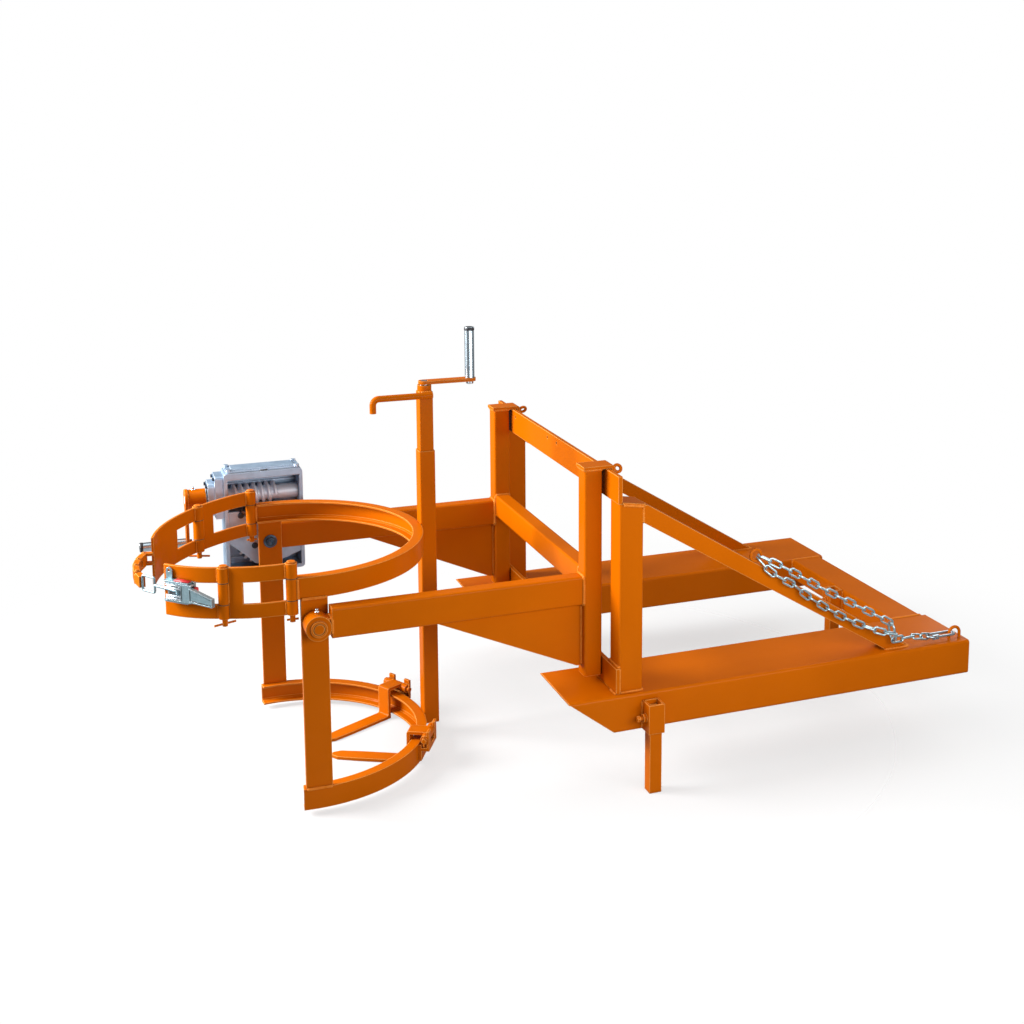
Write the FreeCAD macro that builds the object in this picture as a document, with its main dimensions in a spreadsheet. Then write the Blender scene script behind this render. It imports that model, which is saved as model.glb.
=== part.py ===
import FreeCAD, Part
import math
import os
import re
import Sketcher

# Drum lifter for fork trucks: millimetres, drum axis at X=0 Y=0, fork entry at +X.
# Z=0 is the lower edge of the lower ring; the legs stand a little below it.
os.makedirs("parts", exist_ok=True)
doc = FreeCAD.newDocument("drum_lifter")
sheet = doc.addObject("Spreadsheet::Sheet", "Dimensions")
V = FreeCAD.Vector
ROT = FreeCAD.Rotation

SIZES = {
    # fork frame
    "pocket_in": 269, "pocket_out": 474, "pocket_low": 133, "pocket_top": 223,
    "pocket_nose": 549, "pocket_knee": 664, "pocket_back": 1651, "pocket_wall": 5,
    "pocket_round": 8, "post_front": 680, "post_wide": 60, "post_in": 396,
    "post_top": 680, "post_wall": 4, "cap_thick": 4.5, "cap_over": 3, "cap_fall": 9,
    "rail_front": 677, "rail_thick": 10, "rail_top": 745,
    "rail_half": "=post_in+post_wide-1", "foot_rail_half": "=post_in+post_wide+6",
    "foot_rail_tall": 62, "rail_hole": 3.5,
    "brace_in": 412, "brace_out": 452, "brace_wall": 3, "brace_foot": 1414,
    "brace_heel": 1480, "cross_front": 1547, "cross_back": 1640, "cross_tall": 60,
    # legs
    "leg_wide": 30, "leg_wall": 3, "leg_foot": -14, "leg_top": 195, "leg_x": 752,
    "leg_y": 494, "sleeve_wide": 40, "sleeve_low": 135, "sleeve_top": 206,
    "run_gap": 0.05, "rear_leg_x": 1527, "screw_r": 5, "screw_z": 170,
    # hook frame
    "hook_front": 624.7, "hook_wide": 45, "hook_in": 329, "hook_low": 240,
    "hook_top": 745.05, "hook_wall": 3, "arm_in": 330, "arm_out": 370,
    "arm_low": 417, "arm_top": 487, "arm_front": 30, "arm_wall": 3,
    "gusset_apex": 264, "gusset_low": 263, "gusset_thick": 8, "boss_r": 28.5,
    "boss_in": 331, "boss_out": 372, "tilt_z": 445, "shaft_r": 18.5,
    "hook_plate": 8, "lip_front": 692, "lip_low": 718, "eye_screw_z": 737,
    "beam_front": 627, "beam_deep": 40, "beam_low": 442, "beam_tall": 60,
    # gearbox
    "box_left": -107, "box_right": 99, "box_near": 370, "box_far": 447,
    "box_low": 346.5, "box_top": 622, "box_wall": 9, "worm_y": 410, "module_mm": 5.5,
    "wheel_teeth": 30, "worm_pitch_r": 25, "journal_r": 12.5, "wheel_half": 14,
    # cradle
    "ring_r": 323, "ring_tall": 50, "ring_deep": 25, "ring_web": 5, "ring_flange": 6,
    "ring_arc": 192.8, "ring_up": 500, "strap_wide": 60, "strap_thick": 10,
    "mast_front": "=ring_r-0.5", "mast_wide": 40, "mast_wall": 2.45, "mast_low": 22,
    "mast_top": 735, "inner_wide": 35, "inner_wall": 2.5, "inner_low": 420,
    "inner_top": 884, "collar_top": 900, "spindle_r": 8, "spindle_low": 150,
    "crank_throw": 117, "crank_wide": 30, "crank_thick": 8, "grip_r": 12,
    "grip_long": 125, "grip_pin_r": 5, "hook_bar_r": 8,
    # gates, latch, chain
    "gate_out": "=ring_r-2", "gate_in": "=gate_out-6", "gate_low": "=ring_up-33",
    "gate_top": "=ring_up+ring_tall+35", "gate_dip": 4.5, "t_pin_drop": 18,
    "knuckle_r": 13, "pin_r": 6, "ring_hinge_x": -47, "ring_hinge_y": 314,
    "mid_angle": 54, "near_edge": 26.5, "near_swing": 9.6, "far_edge": -10,
    "latch_z": "=ring_up+14",
    "link_wide": 14, "link_pin_r": 3, "wire_r": 2.5, "chain_pitch": 32,
    "chain_half": 7.5, "finger_angle": 28, "finger_wide": 38, "finger_thick": 8,
    "finger_hinge_r": 336, "finger_hinge_z": 60, "finger_tip": 92,
}
for row, (alias, value) in enumerate(SIZES.items(), 1):
    sheet.set(f"A{row}", alias)
    sheet.set(f"B{row}", str(value))
    sheet.setAlias(f"B{row}", alias)
doc.recompute()
S = {alias: float(sheet.get(alias)) for alias in SIZES}
nodes = []


def E(text):
    """Expression text with every size name pointed at the sheet."""
    def link(found):
        word = found.group(0)
        return "Dimensions." + word if word in SIZES else word
    return re.sub(r"[a-z][a-z_0-9]*", link, str(text))


def at(obj, x, y, z):
    for axis, text in zip("xyz", (x, y, z)):
        obj.setExpression("Placement.Base." + axis, E(text))
    return obj


def box(name, x0, x1, y0, y1, z0, z1):
    solid = doc.addObject("Part::Box", name)
    for slot, a, b in (("Length", x0, x1), ("Width", y0, y1), ("Height", z0, z1)):
        solid.setExpression(slot, E(f"({b})-({a})"))
    return at(solid, x0, y0, z0)


TURN = {"x": ROT(V(0, 1, 0), 90), "y": ROT(V(1, 0, 0), -90), "z": ROT()}


def rod(name, axis, radius, x, y, z, length):
    """Round bar that starts at x, y, z and runs along the plus axis."""
    solid = doc.addObject("Part::Cylinder", name)
    solid.Placement = FreeCAD.Placement(V(), TURN[axis])
    solid.setExpression("Radius", E(radius))
    solid.setExpression("Height", E(length))
    return at(solid, x, y, z)


def fuse(name, *solids):
    whole = doc.addObject("Part::MultiFuse", name)
    whole.Shapes = list(solids)
    whole.Refine = True
    return whole


def cut(name, base, *tools):
    whole = doc.addObject("Part::Cut", name)
    whole.Base = base
    whole.Tool = tools[0] if len(tools) == 1 else fuse(name + "_tools", *tools)
    whole.Refine = True
    return whole


def group(name, *solids):
    whole = doc.addObject("Part::Compound", name)
    whole.Links = list(solids)
    return whole


def mirrored(name, solid):
    other = doc.addObject("Part::Mirroring", name)
    other.Source = solid
    other.Normal = V(0, 1, 0)
    return other


def feature(name, shape):
    """Shape made in code from sheet sizes, for forms no primitive covers."""
    solid = doc.addObject("Part::Feature", name)
    solid.Shape = shape
    return solid


def node(obj, label=None):
    obj.Label = label or obj.Name
    nodes.append(obj)
    return obj


def plane(body, role):
    return [f for f in body.Origin.OriginFeatures if f.Role == role][0]


def polygon(sketch, points):
    """Closed outline whose corners are all tied to sheet expressions."""
    count = len(points)
    texts = [(E(x), E(y)) for x, y in points]
    spots = [(float(sketch.evalExpression(x)), float(sketch.evalExpression(y)))
             for x, y in texts]
    first = sketch.GeometryCount
    for i in range(count):
        a = V(spots[i][0], spots[i][1], 0)
        b = V(spots[(i + 1) % count][0], spots[(i + 1) % count][1], 0)
        sketch.addGeometry(Part.LineSegment(a, b))
    for i in range(count):
        before = first + (i - 1) % count
        sketch.addConstraint(Sketcher.Constraint("Coincident", before, 2, first + i, 1))
    for i, (pair, spot) in enumerate(zip(texts, spots)):
        for kind, text, value, line in (("DistanceX", pair[0], spot[0], -2),
                                        ("DistanceY", pair[1], spot[1], -1)):
            if abs(value) < 1e-9:
                rule = Sketcher.Constraint("PointOnObject", first + i, 1, line)
                sketch.addConstraint(rule)
                continue
            rule = Sketcher.Constraint(kind, -1, 1, first + i, 1, value)
            number = sketch.addConstraint(rule)
            sketch.setExpression(f"Constraints[{number}]", text)


def prism(name, role, outlines, start, length, rounds=None, round_r=None):
    """PartDesign body: outlines on an origin plane, padded along its axis."""
    body = doc.addObject("PartDesign::Body", name)
    sketch = body.newObject("Sketcher::SketchObject", name + "_outline")
    sketch.AttachmentSupport = [(plane(body, role), "")]
    sketch.MapMode = "FlatFace"
    sign = "-" if role == "XZ_Plane" else ""
    sketch.setExpression("AttachmentOffset.Base.z", E(f"{sign}({start})"))
    for points in outlines:
        polygon(sketch, points)
    pad = body.newObject("PartDesign::Pad", name + "_pad")
    pad.Profile = sketch
    pad.Reversed = role == "XZ_Plane"
    pad.setExpression("Length", E(length))
    if rounds:
        doc.recompute()
        names = [f"Edge{i + 1}" for i, e in enumerate(pad.Shape.Edges) if rounds(e)]
        bend = body.newObject("PartDesign::Fillet", name + "_rounds")
        bend.Base = (pad, names)
        bend.setExpression("Radius", E(round_r))
    return body


def rect(u0, u1, v0, v1):
    return [(u0, v0), (u1, v0), (u1, v1), (u0, v1)]


def along(edge, axis, length):
    """True for a straight edge of this length that runs along the axis."""
    span = edge.Vertexes[-1].Point.sub(edge.Vertexes[0].Point)
    return abs(abs(getattr(span, axis)) - length) < 0.01 and abs(span.Length - length) < 0.01


def outer(edge, u, v, half_u, half_v, centre_u, centre_v):
    middle = edge.CenterOfMass
    du = abs(getattr(middle, u) - centre_u)
    dv = abs(getattr(middle, v) - centre_v)
    return abs(du - half_u) < 0.01 and abs(dv - half_v) < 0.01


def tube(name, axis, u0, u1, v0, v1, start, end, wall, round_r):
    """Square or flat tube: hollow profile with rounded outer corners."""
    roles = {"x": ("YZ_Plane", "y", "z"), "y": ("XZ_Plane", "x", "z"),
             "z": ("XY_Plane", "x", "y")}
    role, u, v = roles[axis]
    outlines = [rect(u0, u1, v0, v1),
                rect(f"({u0})+{wall}", f"({u1})-{wall}", f"({v0})+{wall}", f"({v1})-{wall}")]
    value = {k: float(eval_size(t)) for k, t in
             (("u0", u0), ("u1", u1), ("v0", v0), ("v1", v1), ("s", start), ("e", end))}
    half_u = (value["u1"] - value["u0"]) / 2
    half_v = (value["v1"] - value["v0"]) / 2
    cu = (value["u1"] + value["u0"]) / 2
    cv = (value["v1"] + value["v0"]) / 2
    long = value["e"] - value["s"]

    def corner(edge):
        return along(edge, axis, long) and outer(edge, u, v, half_u, half_v, cu, cv)
    return prism(name, role, outlines, start, f"({end})-({start})", corner, round_r)


def eval_size(text):
    return sheet.evalExpression(re.sub("Dimensions\\.", "", E(text)))


def path(points, bend_r):
    """Wire of straight runs joined by arcs of one bend radius."""
    spots = [V(*p) for p in points]
    edges = []
    start = spots[0]
    for i in range(1, len(spots) - 1):
        before = spots[i - 1].sub(spots[i]).normalize()
        after = spots[i + 1].sub(spots[i]).normalize()
        half = before.getAngle(after) / 2
        back = bend_r / math.tan(half)
        a = spots[i].add(before * back)
        b = spots[i].add(after * back)
        inward = before.add(after).normalize()
        middle = spots[i].add(inward * (bend_r / math.sin(half) - bend_r))
        if start.distanceToPoint(a) > 1e-4:
            edges.append(Part.makeLine(start, a))
        edges.append(Part.Arc(a, middle, b).toShape())
        start = b
    edges.append(Part.makeLine(start, spots[-1]))
    return Part.Wire(edges)


def bar(points, bend_r, radius):
    """Bent round bar."""
    spine = path(points, bend_r) if len(points) > 2 else Part.Wire(
        [Part.makeLine(V(*points[0]), V(*points[1]))])
    ahead = V(*points[1]).sub(V(*points[0]))
    section = Part.Wire([Part.makeCircle(radius, V(*points[0]), ahead)])
    return spine.makePipeShell([section], True, False)


def cyl(radius, x, y, z, length, axis=(0, 0, 1)):
    return Part.makeCylinder(radius, length, V(x, y, z), V(*axis))


def turned(steps):
    """Turned shaft along Z from its steps, each a start, an end and a radius."""
    points = [V(0, 0, steps[0][0])]
    for low, high, radius in steps:
        points += [V(radius, 0, low), V(radius, 0, high)]
    points.append(V(0, 0, steps[-1][1]))
    half_section = Part.Face(Part.makePolygon(points + points[:1]))
    return half_section.revolve(V(), V(0, 0, 1), 360)


def oval(half_long, half_wide, wire):
    """Closed oval link in the XY plane, long side along X."""
    run = half_long - half_wide
    ends = []
    for sign in (1, -1):
        ring = Part.makeTorus(half_wide, wire, V(sign * run, 0, 0), V(0, 0, 1))
        keep = Part.makeBox(2 * half_long, 4 * half_wide, 4 * wire,
                            V(sign * run if sign > 0 else sign * run - 2 * half_long,
                              -2 * half_wide, -2 * wire))
        ends.append(ring.common(keep))
    sides = [cyl(wire, -run, y, 0, 2 * run, (1, 0, 0)) for y in (-half_wide, half_wide)]
    return ends[0].fuse(ends[1:] + sides).removeSplitter()


# Fork pockets, with a slanted open nose
def pocket(name):
    shell = tube(name + "_tube", "x", "pocket_in", "pocket_out", "pocket_low", "pocket_top",
                 "pocket_nose", "pocket_back", "pocket_wall", "pocket_round")
    nose = prism(name + "_nose", "XZ_Plane",
                 [[("pocket_nose-20", "pocket_low-13"), ("pocket_knee+17", "pocket_low-13"),
                   ("pocket_nose+3", "pocket_top-pocket_wall+1"),
                   ("pocket_nose-20", "pocket_top-pocket_wall+1")]],
                 "pocket_in-5", "pocket_out-pocket_in+10")
    return shell, nose


shell, nose = pocket("pocket")
far_pocket = node(cut("fork_pocket_far", shell, nose))
node(mirrored("fork_pocket_near", far_pocket))

# Rear posts with cap plates, rails and braces
post = tube("post", "z", "post_front", "post_front+post_wide", "post_in", "post_in+post_wide",
            "pocket_top", "post_top", "post_wall", "6")
cap_x = ("rail_front+rail_thick", "post_front+post_wide+cap_over")
cap_line = [(cap_x[0], "post_top"), (cap_x[1], "post_top-cap_fall"),
            (cap_x[1], "post_top-cap_fall+cap_thick"), (cap_x[0], "post_top+cap_thick")]
cap = prism("cap", "XZ_Plane", [cap_line], "post_in-cap_over", "post_wide+2*cap_over")
above = prism("above_cap", "XZ_Plane", [[cap_line[0], cap_line[1], (cap_x[1], "post_top+9"),
                                         (cap_x[0], "post_top+9")]],
              "post_in-10", "post_wide+20")
far_post = fuse("post_capped", cut("post_sloped", post, above), cap)
node(group("rear_posts", far_post, mirrored("post_capped_near", far_post)))

rail = box("rail_bar", "rail_front", "rail_front+rail_thick", "-rail_half", "rail_half",
           "post_top", "rail_top")
holes = [rod(f"rail_hole_{i}", "x", "rail_hole", "rail_front-1", y, z, "rail_thick+2")
         for i, (y, z) in enumerate(((35, 730), (-35, 730), (300, 728), (-300, 728)))]
node(cut("top_rail", rail, *holes))
node(box("bottom_rail", "post_front-rail_thick", "post_front", "-foot_rail_half",
         "foot_rail_half", "pocket_top", "pocket_top+foot_rail_tall"))

brace_out = prism("brace_skin", "XZ_Plane",
                  [[("740", "post_top-cap_fall-0.5"), ("740", "630"), ("brace_foot", "pocket_top"),
                    ("brace_heel", "pocket_top"), ("752", "post_top-cap_fall-0.5")]],
                  "brace_in", "brace_out-brace_in")
brace_in = prism("brace_core", "XZ_Plane",
                 [[("739", "post_top-cap_fall-3.5"), ("739", "634.5"),
                   ("brace_foot+1", "pocket_top+3"), ("brace_heel-10", "pocket_top+3"),
                   ("750", "post_top-cap_fall-3.5")]],
                 "brace_in+brace_wall", "brace_out-brace_in-2*brace_wall")
far_brace = cut("brace_far", brace_out, brace_in)
near_brace = mirrored("brace_near", far_brace)
node(group("braces", far_brace, near_brace))

beam = tube("cross_member_tube", "y", "cross_front", "cross_back", "pocket_top-cross_tall",
            "pocket_top", "-pocket_in", "pocket_in", "post_wall", "5")
node(beam, "rear_cross_member")

# Legs in sleeves, each held by a T screw
def sleeve(name, x, y, low, top, side):
    body = box(name + "_block", f"{x}-sleeve_wide/2", f"{x}+sleeve_wide/2",
               f"{y}-sleeve_wide/2", f"{y}+sleeve_wide/2", low, top)
    boss_x = f"{x}-sleeve_wide/2-8"
    boss = rod(name + "_boss", "x", "10", boss_x, y, side, "8.5")
    hole = box(name + "_hole", f"{x}-leg_wide/2-run_gap", f"{x}+leg_wide/2+run_gap",
               f"{y}-leg_wide/2-run_gap", f"{y}+leg_wide/2+run_gap", f"{low}-1", f"{top}+1")
    bore = rod(name + "_bore", "x", "screw_r+run_gap", f"{x}-sleeve_wide/2-9", y, side, "16")
    return cut(name, fuse(name + "_whole", body, boss), hole, bore)


def leg(name, x, y):
    rod_out = box(name + "_out", f"{x}-leg_wide/2", f"{x}+leg_wide/2",
                  f"{y}-leg_wide/2", f"{y}+leg_wide/2", "leg_foot", "leg_top")
    rod_in = box(name + "_in", f"{x}-leg_wide/2+leg_wall", f"{x}+leg_wide/2-leg_wall",
                 f"{y}-leg_wide/2+leg_wall", f"{y}+leg_wide/2-leg_wall",
                 "leg_foot+6", "leg_top+1")
    return node(cut(name, rod_out, rod_in))


def t_screw(name, x, y, side):
    shank = rod(name + "_shank", "x", "screw_r", f"{x}-leg_wide/2-0.3-40", y, side, "40")
    handle = rod(name + "_bar", "z", "3.5", f"{x}-leg_wide/2-0.3-36", y, f"{side}-17", "34")
    return node(fuse(name, shank, handle))


SLEEVES = (("far", "leg_x", "leg_y", "sleeve_low", "sleeve_top", "screw_z"),
           ("near", "leg_x", "-leg_y", "sleeve_low", "sleeve_top", "screw_z"),
           ("rear", "rear_leg_x", "0", "153", "pocket_top", "190"))
sleeves = []
for side, x, y, low, top, height in SLEEVES:
    sleeves.append(sleeve("sleeve_" + side, x, y, low, top, height))
    leg("support_leg_" + side, x, y)
    t_screw("leg_screw_" + side, x, y, height)
node(group("leg_sleeves", *sleeves))

# Chain eyes: a loop on the near brace and a staple on the near pocket
eye_loop = feature("eye_loop", Part.makeTorus(14, 3.5, V(1037, -449.5, 515.4), V(0, 1, 0)))
eye_one = cut("eye_one", eye_loop, near_brace)
staple_points = [(1607, -446, 223), (1607, -446, 253), (1638, -446, 253), (1638, -446, 223)]
eye_two = feature("eye_two", bar(staple_points, 15.4, 4))
node(group("chain_eyes", eye_one, eye_two))


def strand(points, pitch, rolls, parity=None):
    """Links laid at about one pitch along a polyline; the rolls take turns."""
    spots = [V(*p) for p in points]
    lengths = [spots[i].distanceToPoint(spots[i + 1]) for i in range(len(spots) - 1)]
    count = round(sum(lengths) / pitch)
    if parity is not None and count % 2 != parity:
        count += 1
    step = sum(lengths) / count
    link = oval(step / 2 + S["wire_r"] + 0.1, S["chain_half"], S["wire_r"])
    links = []
    for k in range(count):
        ends = []
        for reach in (k * step, (k + 1) * step):
            i = 0
            while i < len(lengths) - 1 and reach > lengths[i]:
                reach -= lengths[i]
                i += 1
            ends.append(spots[i].add(spots[i + 1].sub(spots[i]) * (reach / lengths[i])))
        ahead = ends[1].sub(ends[0]).normalize()
        roll = ROT(V(1, 0, 0), rolls[k % len(rolls)])
        turn = ROT(V(1, 0, 0), ahead).multiply(roll)
        middle = ends[0].add(ends[1]) * 0.5
        links.append(link.transformed(FreeCAD.Placement(middle, turn).toMatrix()))
    return links


upper = [(1046.3, -448.8, 513.6), (1076, -460, 498), (1109, -465, 480), (1171, -465, 442),
         (1208, -465, 418), (1291, -465, 370), (1380, -468, 320), (1413.5, -472, 299.9)]
lower = [(1042.6, -448.6, 507.4), (1062, -459, 483), (1090, -465, 459), (1132, -465, 436),
         (1171, -465, 401), (1245, -465, 351), (1287, -465, 326), (1328, -466, 305),
         (1380, -482, 285), (1418.5, -485, 276)]
tail = [(1418, -471.6, 255.6), (1484, -464, 252), (1544.6, -446, 238)]
chain = strand(upper, S["chain_pitch"], (0, 90), 0)
chain += strand(lower, S["chain_pitch"], (0, 90), 1)
chain += strand(tail, S["chain_pitch"], (90, 150, 30, 90))
master = oval(24, 13, 3)
chain.append(master.transformed(FreeCAD.Placement(
    V(1416, -472, 278), ROT(V(0, 1, 0), 78)).toMatrix()))
node(feature("safety_chain", Part.makeCompound(chain)))

# Spring snap hook lying flat, round the front leg of the staple
snap_z = 238
snap_bar = bar([(1555, -457, snap_z), (1541, -457, snap_z), (1541, -435, snap_z),
                (1619, -435, snap_z), (1619, -457, snap_z), (1598, -457, snap_z)], 10.9, 3.5)
snap = snap_bar
for low in (snap_z - 5.4, snap_z + 3.4):
    snap = snap.fuse(Part.makeBox(18, 7, 2, V(1549, -460.5, low)))
snap = snap.fuse(cyl(1.5, 1562, -457, snap_z - 5.4, 10.8))
node(feature("snap_hook", snap.removeSplitter()))
gate_pin = cyl(1.56, 1562, -457, snap_z - 6, 12)
snap_gate = cyl(3.2, 1562, -457, snap_z - 3.1, 6.2).fuse(
    cyl(3, 1562, -457, snap_z, 35.6, (1, 0, 0))).cut(gate_pin)
node(feature("snap_gate", snap_gate.removeSplitter()))


# Hook frame: posts that hang on the top rail, beam, arms and pivot boss
def hook_corner(edge):
    return along(edge, "z", S["hook_top"] - S["hook_low"])


hook_out = prism("hook_post_out", "XY_Plane",
                 [rect("hook_front", "hook_front+hook_wide", "hook_in", "hook_in+hook_wide")],
                 "hook_low", "hook_top-hook_low", hook_corner, "6")
hook_in = box("hook_post_in", "hook_front+hook_wall", "hook_front+hook_wide-hook_wall",
              "hook_in+hook_wall", "hook_in+hook_wide-hook_wall", "hook_low+6", "hook_top+1")
far_hook = cut("hook_post_far", hook_out, hook_in)
node(group("hook_posts", far_hook, mirrored("hook_post_near", far_hook)))

plate_line = [("hook_front-3", "hook_top"), ("lip_front", "hook_top"),
              ("lip_front", "lip_low"), ("lip_front+hook_plate", "lip_low"),
              ("lip_front+hook_plate", "hook_top+hook_plate"),
              ("hook_front-3", "hook_top+hook_plate")]


def plate_corner(edge):
    middle = edge.CenterOfMass
    return (along(edge, "y", S["hook_wide"] + 6)
            and abs(middle.x - S["lip_front"] - S["hook_plate"]) < 0.01
            and middle.z > S["hook_top"])


hook_plate = prism("hook_plate_bent", "XZ_Plane", [plate_line], "hook_in-3", "hook_wide+6",
                   plate_corner, "7")
screw_hole = rod("hook_plate_bore", "x", "4+run_gap", "lip_front-1",
                 "hook_in+hook_wide/2", "eye_screw_z", "hook_plate+2")
far_plate = cut("hook_plate_far", hook_plate, screw_hole)
node(group("hook_plates", far_plate, mirrored("hook_plate_near", far_plate)))

for side, sign in (("far", 1), ("near", -1)):
    y = sign * (S["hook_in"] + S["hook_wide"] / 2)
    z = S["eye_screw_z"]
    tip = S["rail_front"] + S["rail_thick"] + 0.3
    head_x = S["lip_front"] + S["hook_plate"] + 6
    shape = cyl(4, tip, y, z, head_x + 2 - tip, (1, 0, 0))
    shape = shape.fuse(cyl(7, S["lip_front"] + S["hook_plate"] + 0.3, y, z, 4, (1, 0, 0)))
    shape = shape.fuse(Part.makeTorus(8.6, 3.9, V(head_x + 10, y, z), V(0, 0.85, sign * 0.5)))
    node(feature("eye_screw_" + side, shape.removeSplitter()))

node(tube("cross_tube_beam", "y", "beam_front", "beam_front+beam_deep", "beam_low",
          "beam_low+beam_tall", "-hook_in", "hook_in", "hook_wall", "5"), "cross_tube")


def arm_corner(edge):
    return along(edge, "x", S["hook_front"] - S["arm_front"])


arm_out = prism("arm_skin", "YZ_Plane", [rect("arm_in", "arm_out", "arm_low", "arm_top")],
                "arm_front", "hook_front-arm_front", arm_corner, "6")
arm_in = box("arm_core", "arm_front+4", "hook_front+1", "arm_in+arm_wall",
             "arm_out-arm_wall", "arm_low+arm_wall", "arm_top-arm_wall")
gusset = prism("gusset", "XZ_Plane",
               [[("gusset_apex", "arm_low"), ("hook_front-13", "gusset_low"),
                 ("hook_front", "gusset_low"), ("hook_front", "arm_low")]],
               "350-gusset_thick/2", "gusset_thick")
far_arm = fuse("arm_far", cut("arm_hollow", arm_out, arm_in), gusset)
node(group("lift_arms", far_arm, mirrored("arm_near", far_arm)))

boss = rod("boss_body", "y", "boss_r", "0", "-boss_out", "tilt_z", "boss_out-boss_in")
web = box("boss_web", "20", "arm_front", "-boss_out+4", "-boss_in-3", "tilt_z-18",
          "tilt_z+20")
nipple = rod("boss_nipple", "z", "4", "0", "-352", "tilt_z+boss_r-2", "8")
nipple_tip = rod("boss_nipple_tip", "z", "2.6", "0", "-352", "tilt_z+boss_r+6", "5")
bore = rod("boss_bore", "y", "shaft_r+run_gap", "0", "-boss_out-1", "tilt_z",
           "boss_out-boss_in+2")
node(cut("pivot_boss", fuse("boss_whole", boss, web, nipple, nipple_tip), bore))

# Worm gearbox behind the far arm
worm_z = S["tilt_z"] + S["module_mm"] * S["wheel_teeth"] / 2 + S["worm_pitch_r"]
WORM = "(tilt_z+module_mm*wheel_teeth/2+worm_pitch_r)"


def box_corner(edge):
    return along(edge, "y", S["box_far"] - S["box_near"])


tray_out = prism("tray_skin", "XZ_Plane", [rect("box_left", "box_right", "box_low", "box_top")],
                 "box_near", "box_far-box_near", box_corner, "10")
tray_in = box("tray_core", "box_left+box_wall", "box_right-box_wall", "box_near-1",
              "box_far-6", "box_low+box_wall", "box_top-2*box_wall")
seat = rod("tray_seat", "y", "30", "0", "box_far-18", "tilt_z", "13")
shaft_hole = rod("tray_shaft_hole", "y", "shaft_r+run_gap", "0", "box_far-19", "tilt_z", "13")
left_hole = rod("tray_left_hole", "x", "journal_r+run_gap", "box_left-1", "worm_y", WORM,
                "box_wall+2")
right_hole = rod("tray_right_hole", "x", "journal_r+run_gap", "box_right-box_wall-1",
                 "worm_y", WORM, "7.5")
ribs = [box(f"tray_rib_{i}", "box_left+box_wall-1", "box_right-box_wall+1", "box_far-14",
            "box_far-5", z, f"{z}+6") for i, z in enumerate(("594", "575", "368"))]
tray = fuse("tray_whole", cut("tray_open", tray_out, tray_in), seat, *ribs)
node(cut("gearbox_housing", tray, shaft_hole, left_hole, right_hole))



def lid_corner(edge):
    return along(edge, "z", 5)


lid = prism("lid_plate", "XY_Plane",
            [rect("box_left+6", "box_right-6", "box_near+3", "box_far-4")], "box_top", "5",
            lid_corner, "9")
lid_top = box("lid_top", "box_left+22", "box_right-20", "box_near+11", "box_far-12",
              "box_top+4", "box_top+8")
lid_bosses = [rod(f"lid_boss_{i}", "z", "7", x, y, "box_top+4", "5.5")
              for i, (x, y) in enumerate((x, y) for x in ("box_left+14", "box_right-14")
                                         for y in ("box_near+11", "box_far-12"))]
slot = box("lid_slot", "-12", "8", "box_near+2", "box_near+7", "box_top-1", "box_top+3.6")
node(cut("gearbox_cover", fuse("lid_whole", lid, lid_top, *lid_bosses), slot))


def block_corner(long):
    def test(edge):
        return along(edge, "x", long) and edge.CenterOfMass.z > 560
    return test


block_a = prism("block_inner", "YZ_Plane", [rect("377", "443", "500", "615")], "box_left-22",
                "22", block_corner(22), "9")
block_b = prism("block_outer", "YZ_Plane", [rect("381", "439", "510", "598")], "box_left-40",
                "19", block_corner(19), "14")
block_bore = rod("block_bore", "x", "journal_r+run_gap", "box_left-45", "worm_y", WORM, "46")
node(cut("worm_bearing_cap", fuse("block_whole", block_a, block_b), block_bore))

cast_line = [("box_left+box_wall", "515"), ("-70", "515"), ("-35", "482"), ("45", "475"),
             ("box_right-box_wall", "430"), ("box_right-box_wall", "392"), ("28", "370"),
             ("-32", "370"), ("-60", "398"), ("box_left+box_wall", "430")]
cast = prism("cast_web", "XZ_Plane", [cast_line], "374", "9")
cast_boss = rod("cast_boss", "y", "31", "0", "374", "tilt_z", "15")
cast_bore = rod("cast_bore", "y", "shaft_r+run_gap", "0", "373", "tilt_z", "17")
node(cut("shaft_bearing_plate", fuse("cast_whole", cast, cast_boss), cast_bore))


def hex_bolt(x, y, z, axis, radius, tall):
    """Hexagon head with a round shank end standing on it."""
    head = Part.Face(Part.makePolygon([V(radius * math.cos(math.radians(60 * i)),
                                         radius * math.sin(math.radians(60 * i)), 0)
                                       for i in range(7)])).extrude(V(0, 0, tall))
    washer = Part.makeCylinder(radius * 1.25, 1.5, V(0, 0, -1.5))
    shape = head.fuse(washer)
    turn = ROT(V(0, 0, 1), V(*axis))
    return shape.transformed(FreeCAD.Placement(V(x, y, z), turn).toMatrix())


left = S["box_left"]
bolts = [hex_bolt(-66, 372.5, 505, (0, -1, 0), 6.5, 5),
         hex_bolt(-66, 372.5, 457, (0, -1, 0), 6.5, 5),
         hex_bolt(-32, 372.5, 419, (0, -1, 0), 6.5, 5),
         hex_bolt(5, 372.5, 392, (0, -1, 0), 6.5, 5),
         hex_bolt(left - 23.5, 430, 606, (-1, 0, 0), 4.5, 3.5),
         hex_bolt(left - 23.5, 390, 606, (-1, 0, 0), 4.5, 3.5),
         hex_bolt(left - 41.5, 390, 519, (-1, 0, 0), 5, 4),
         hex_bolt(left - 41.5, 430, 519, (-1, 0, 0), 5, 4),
         hex_bolt(left - 41.5, 393, 587, (-1, 0, 0), 5, 4),
         hex_bolt(left - 41.5, 427, 587, (-1, 0, 0), 5, 4)]
node(feature("gearbox_bolts", Part.makeCompound(bolts)))

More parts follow.
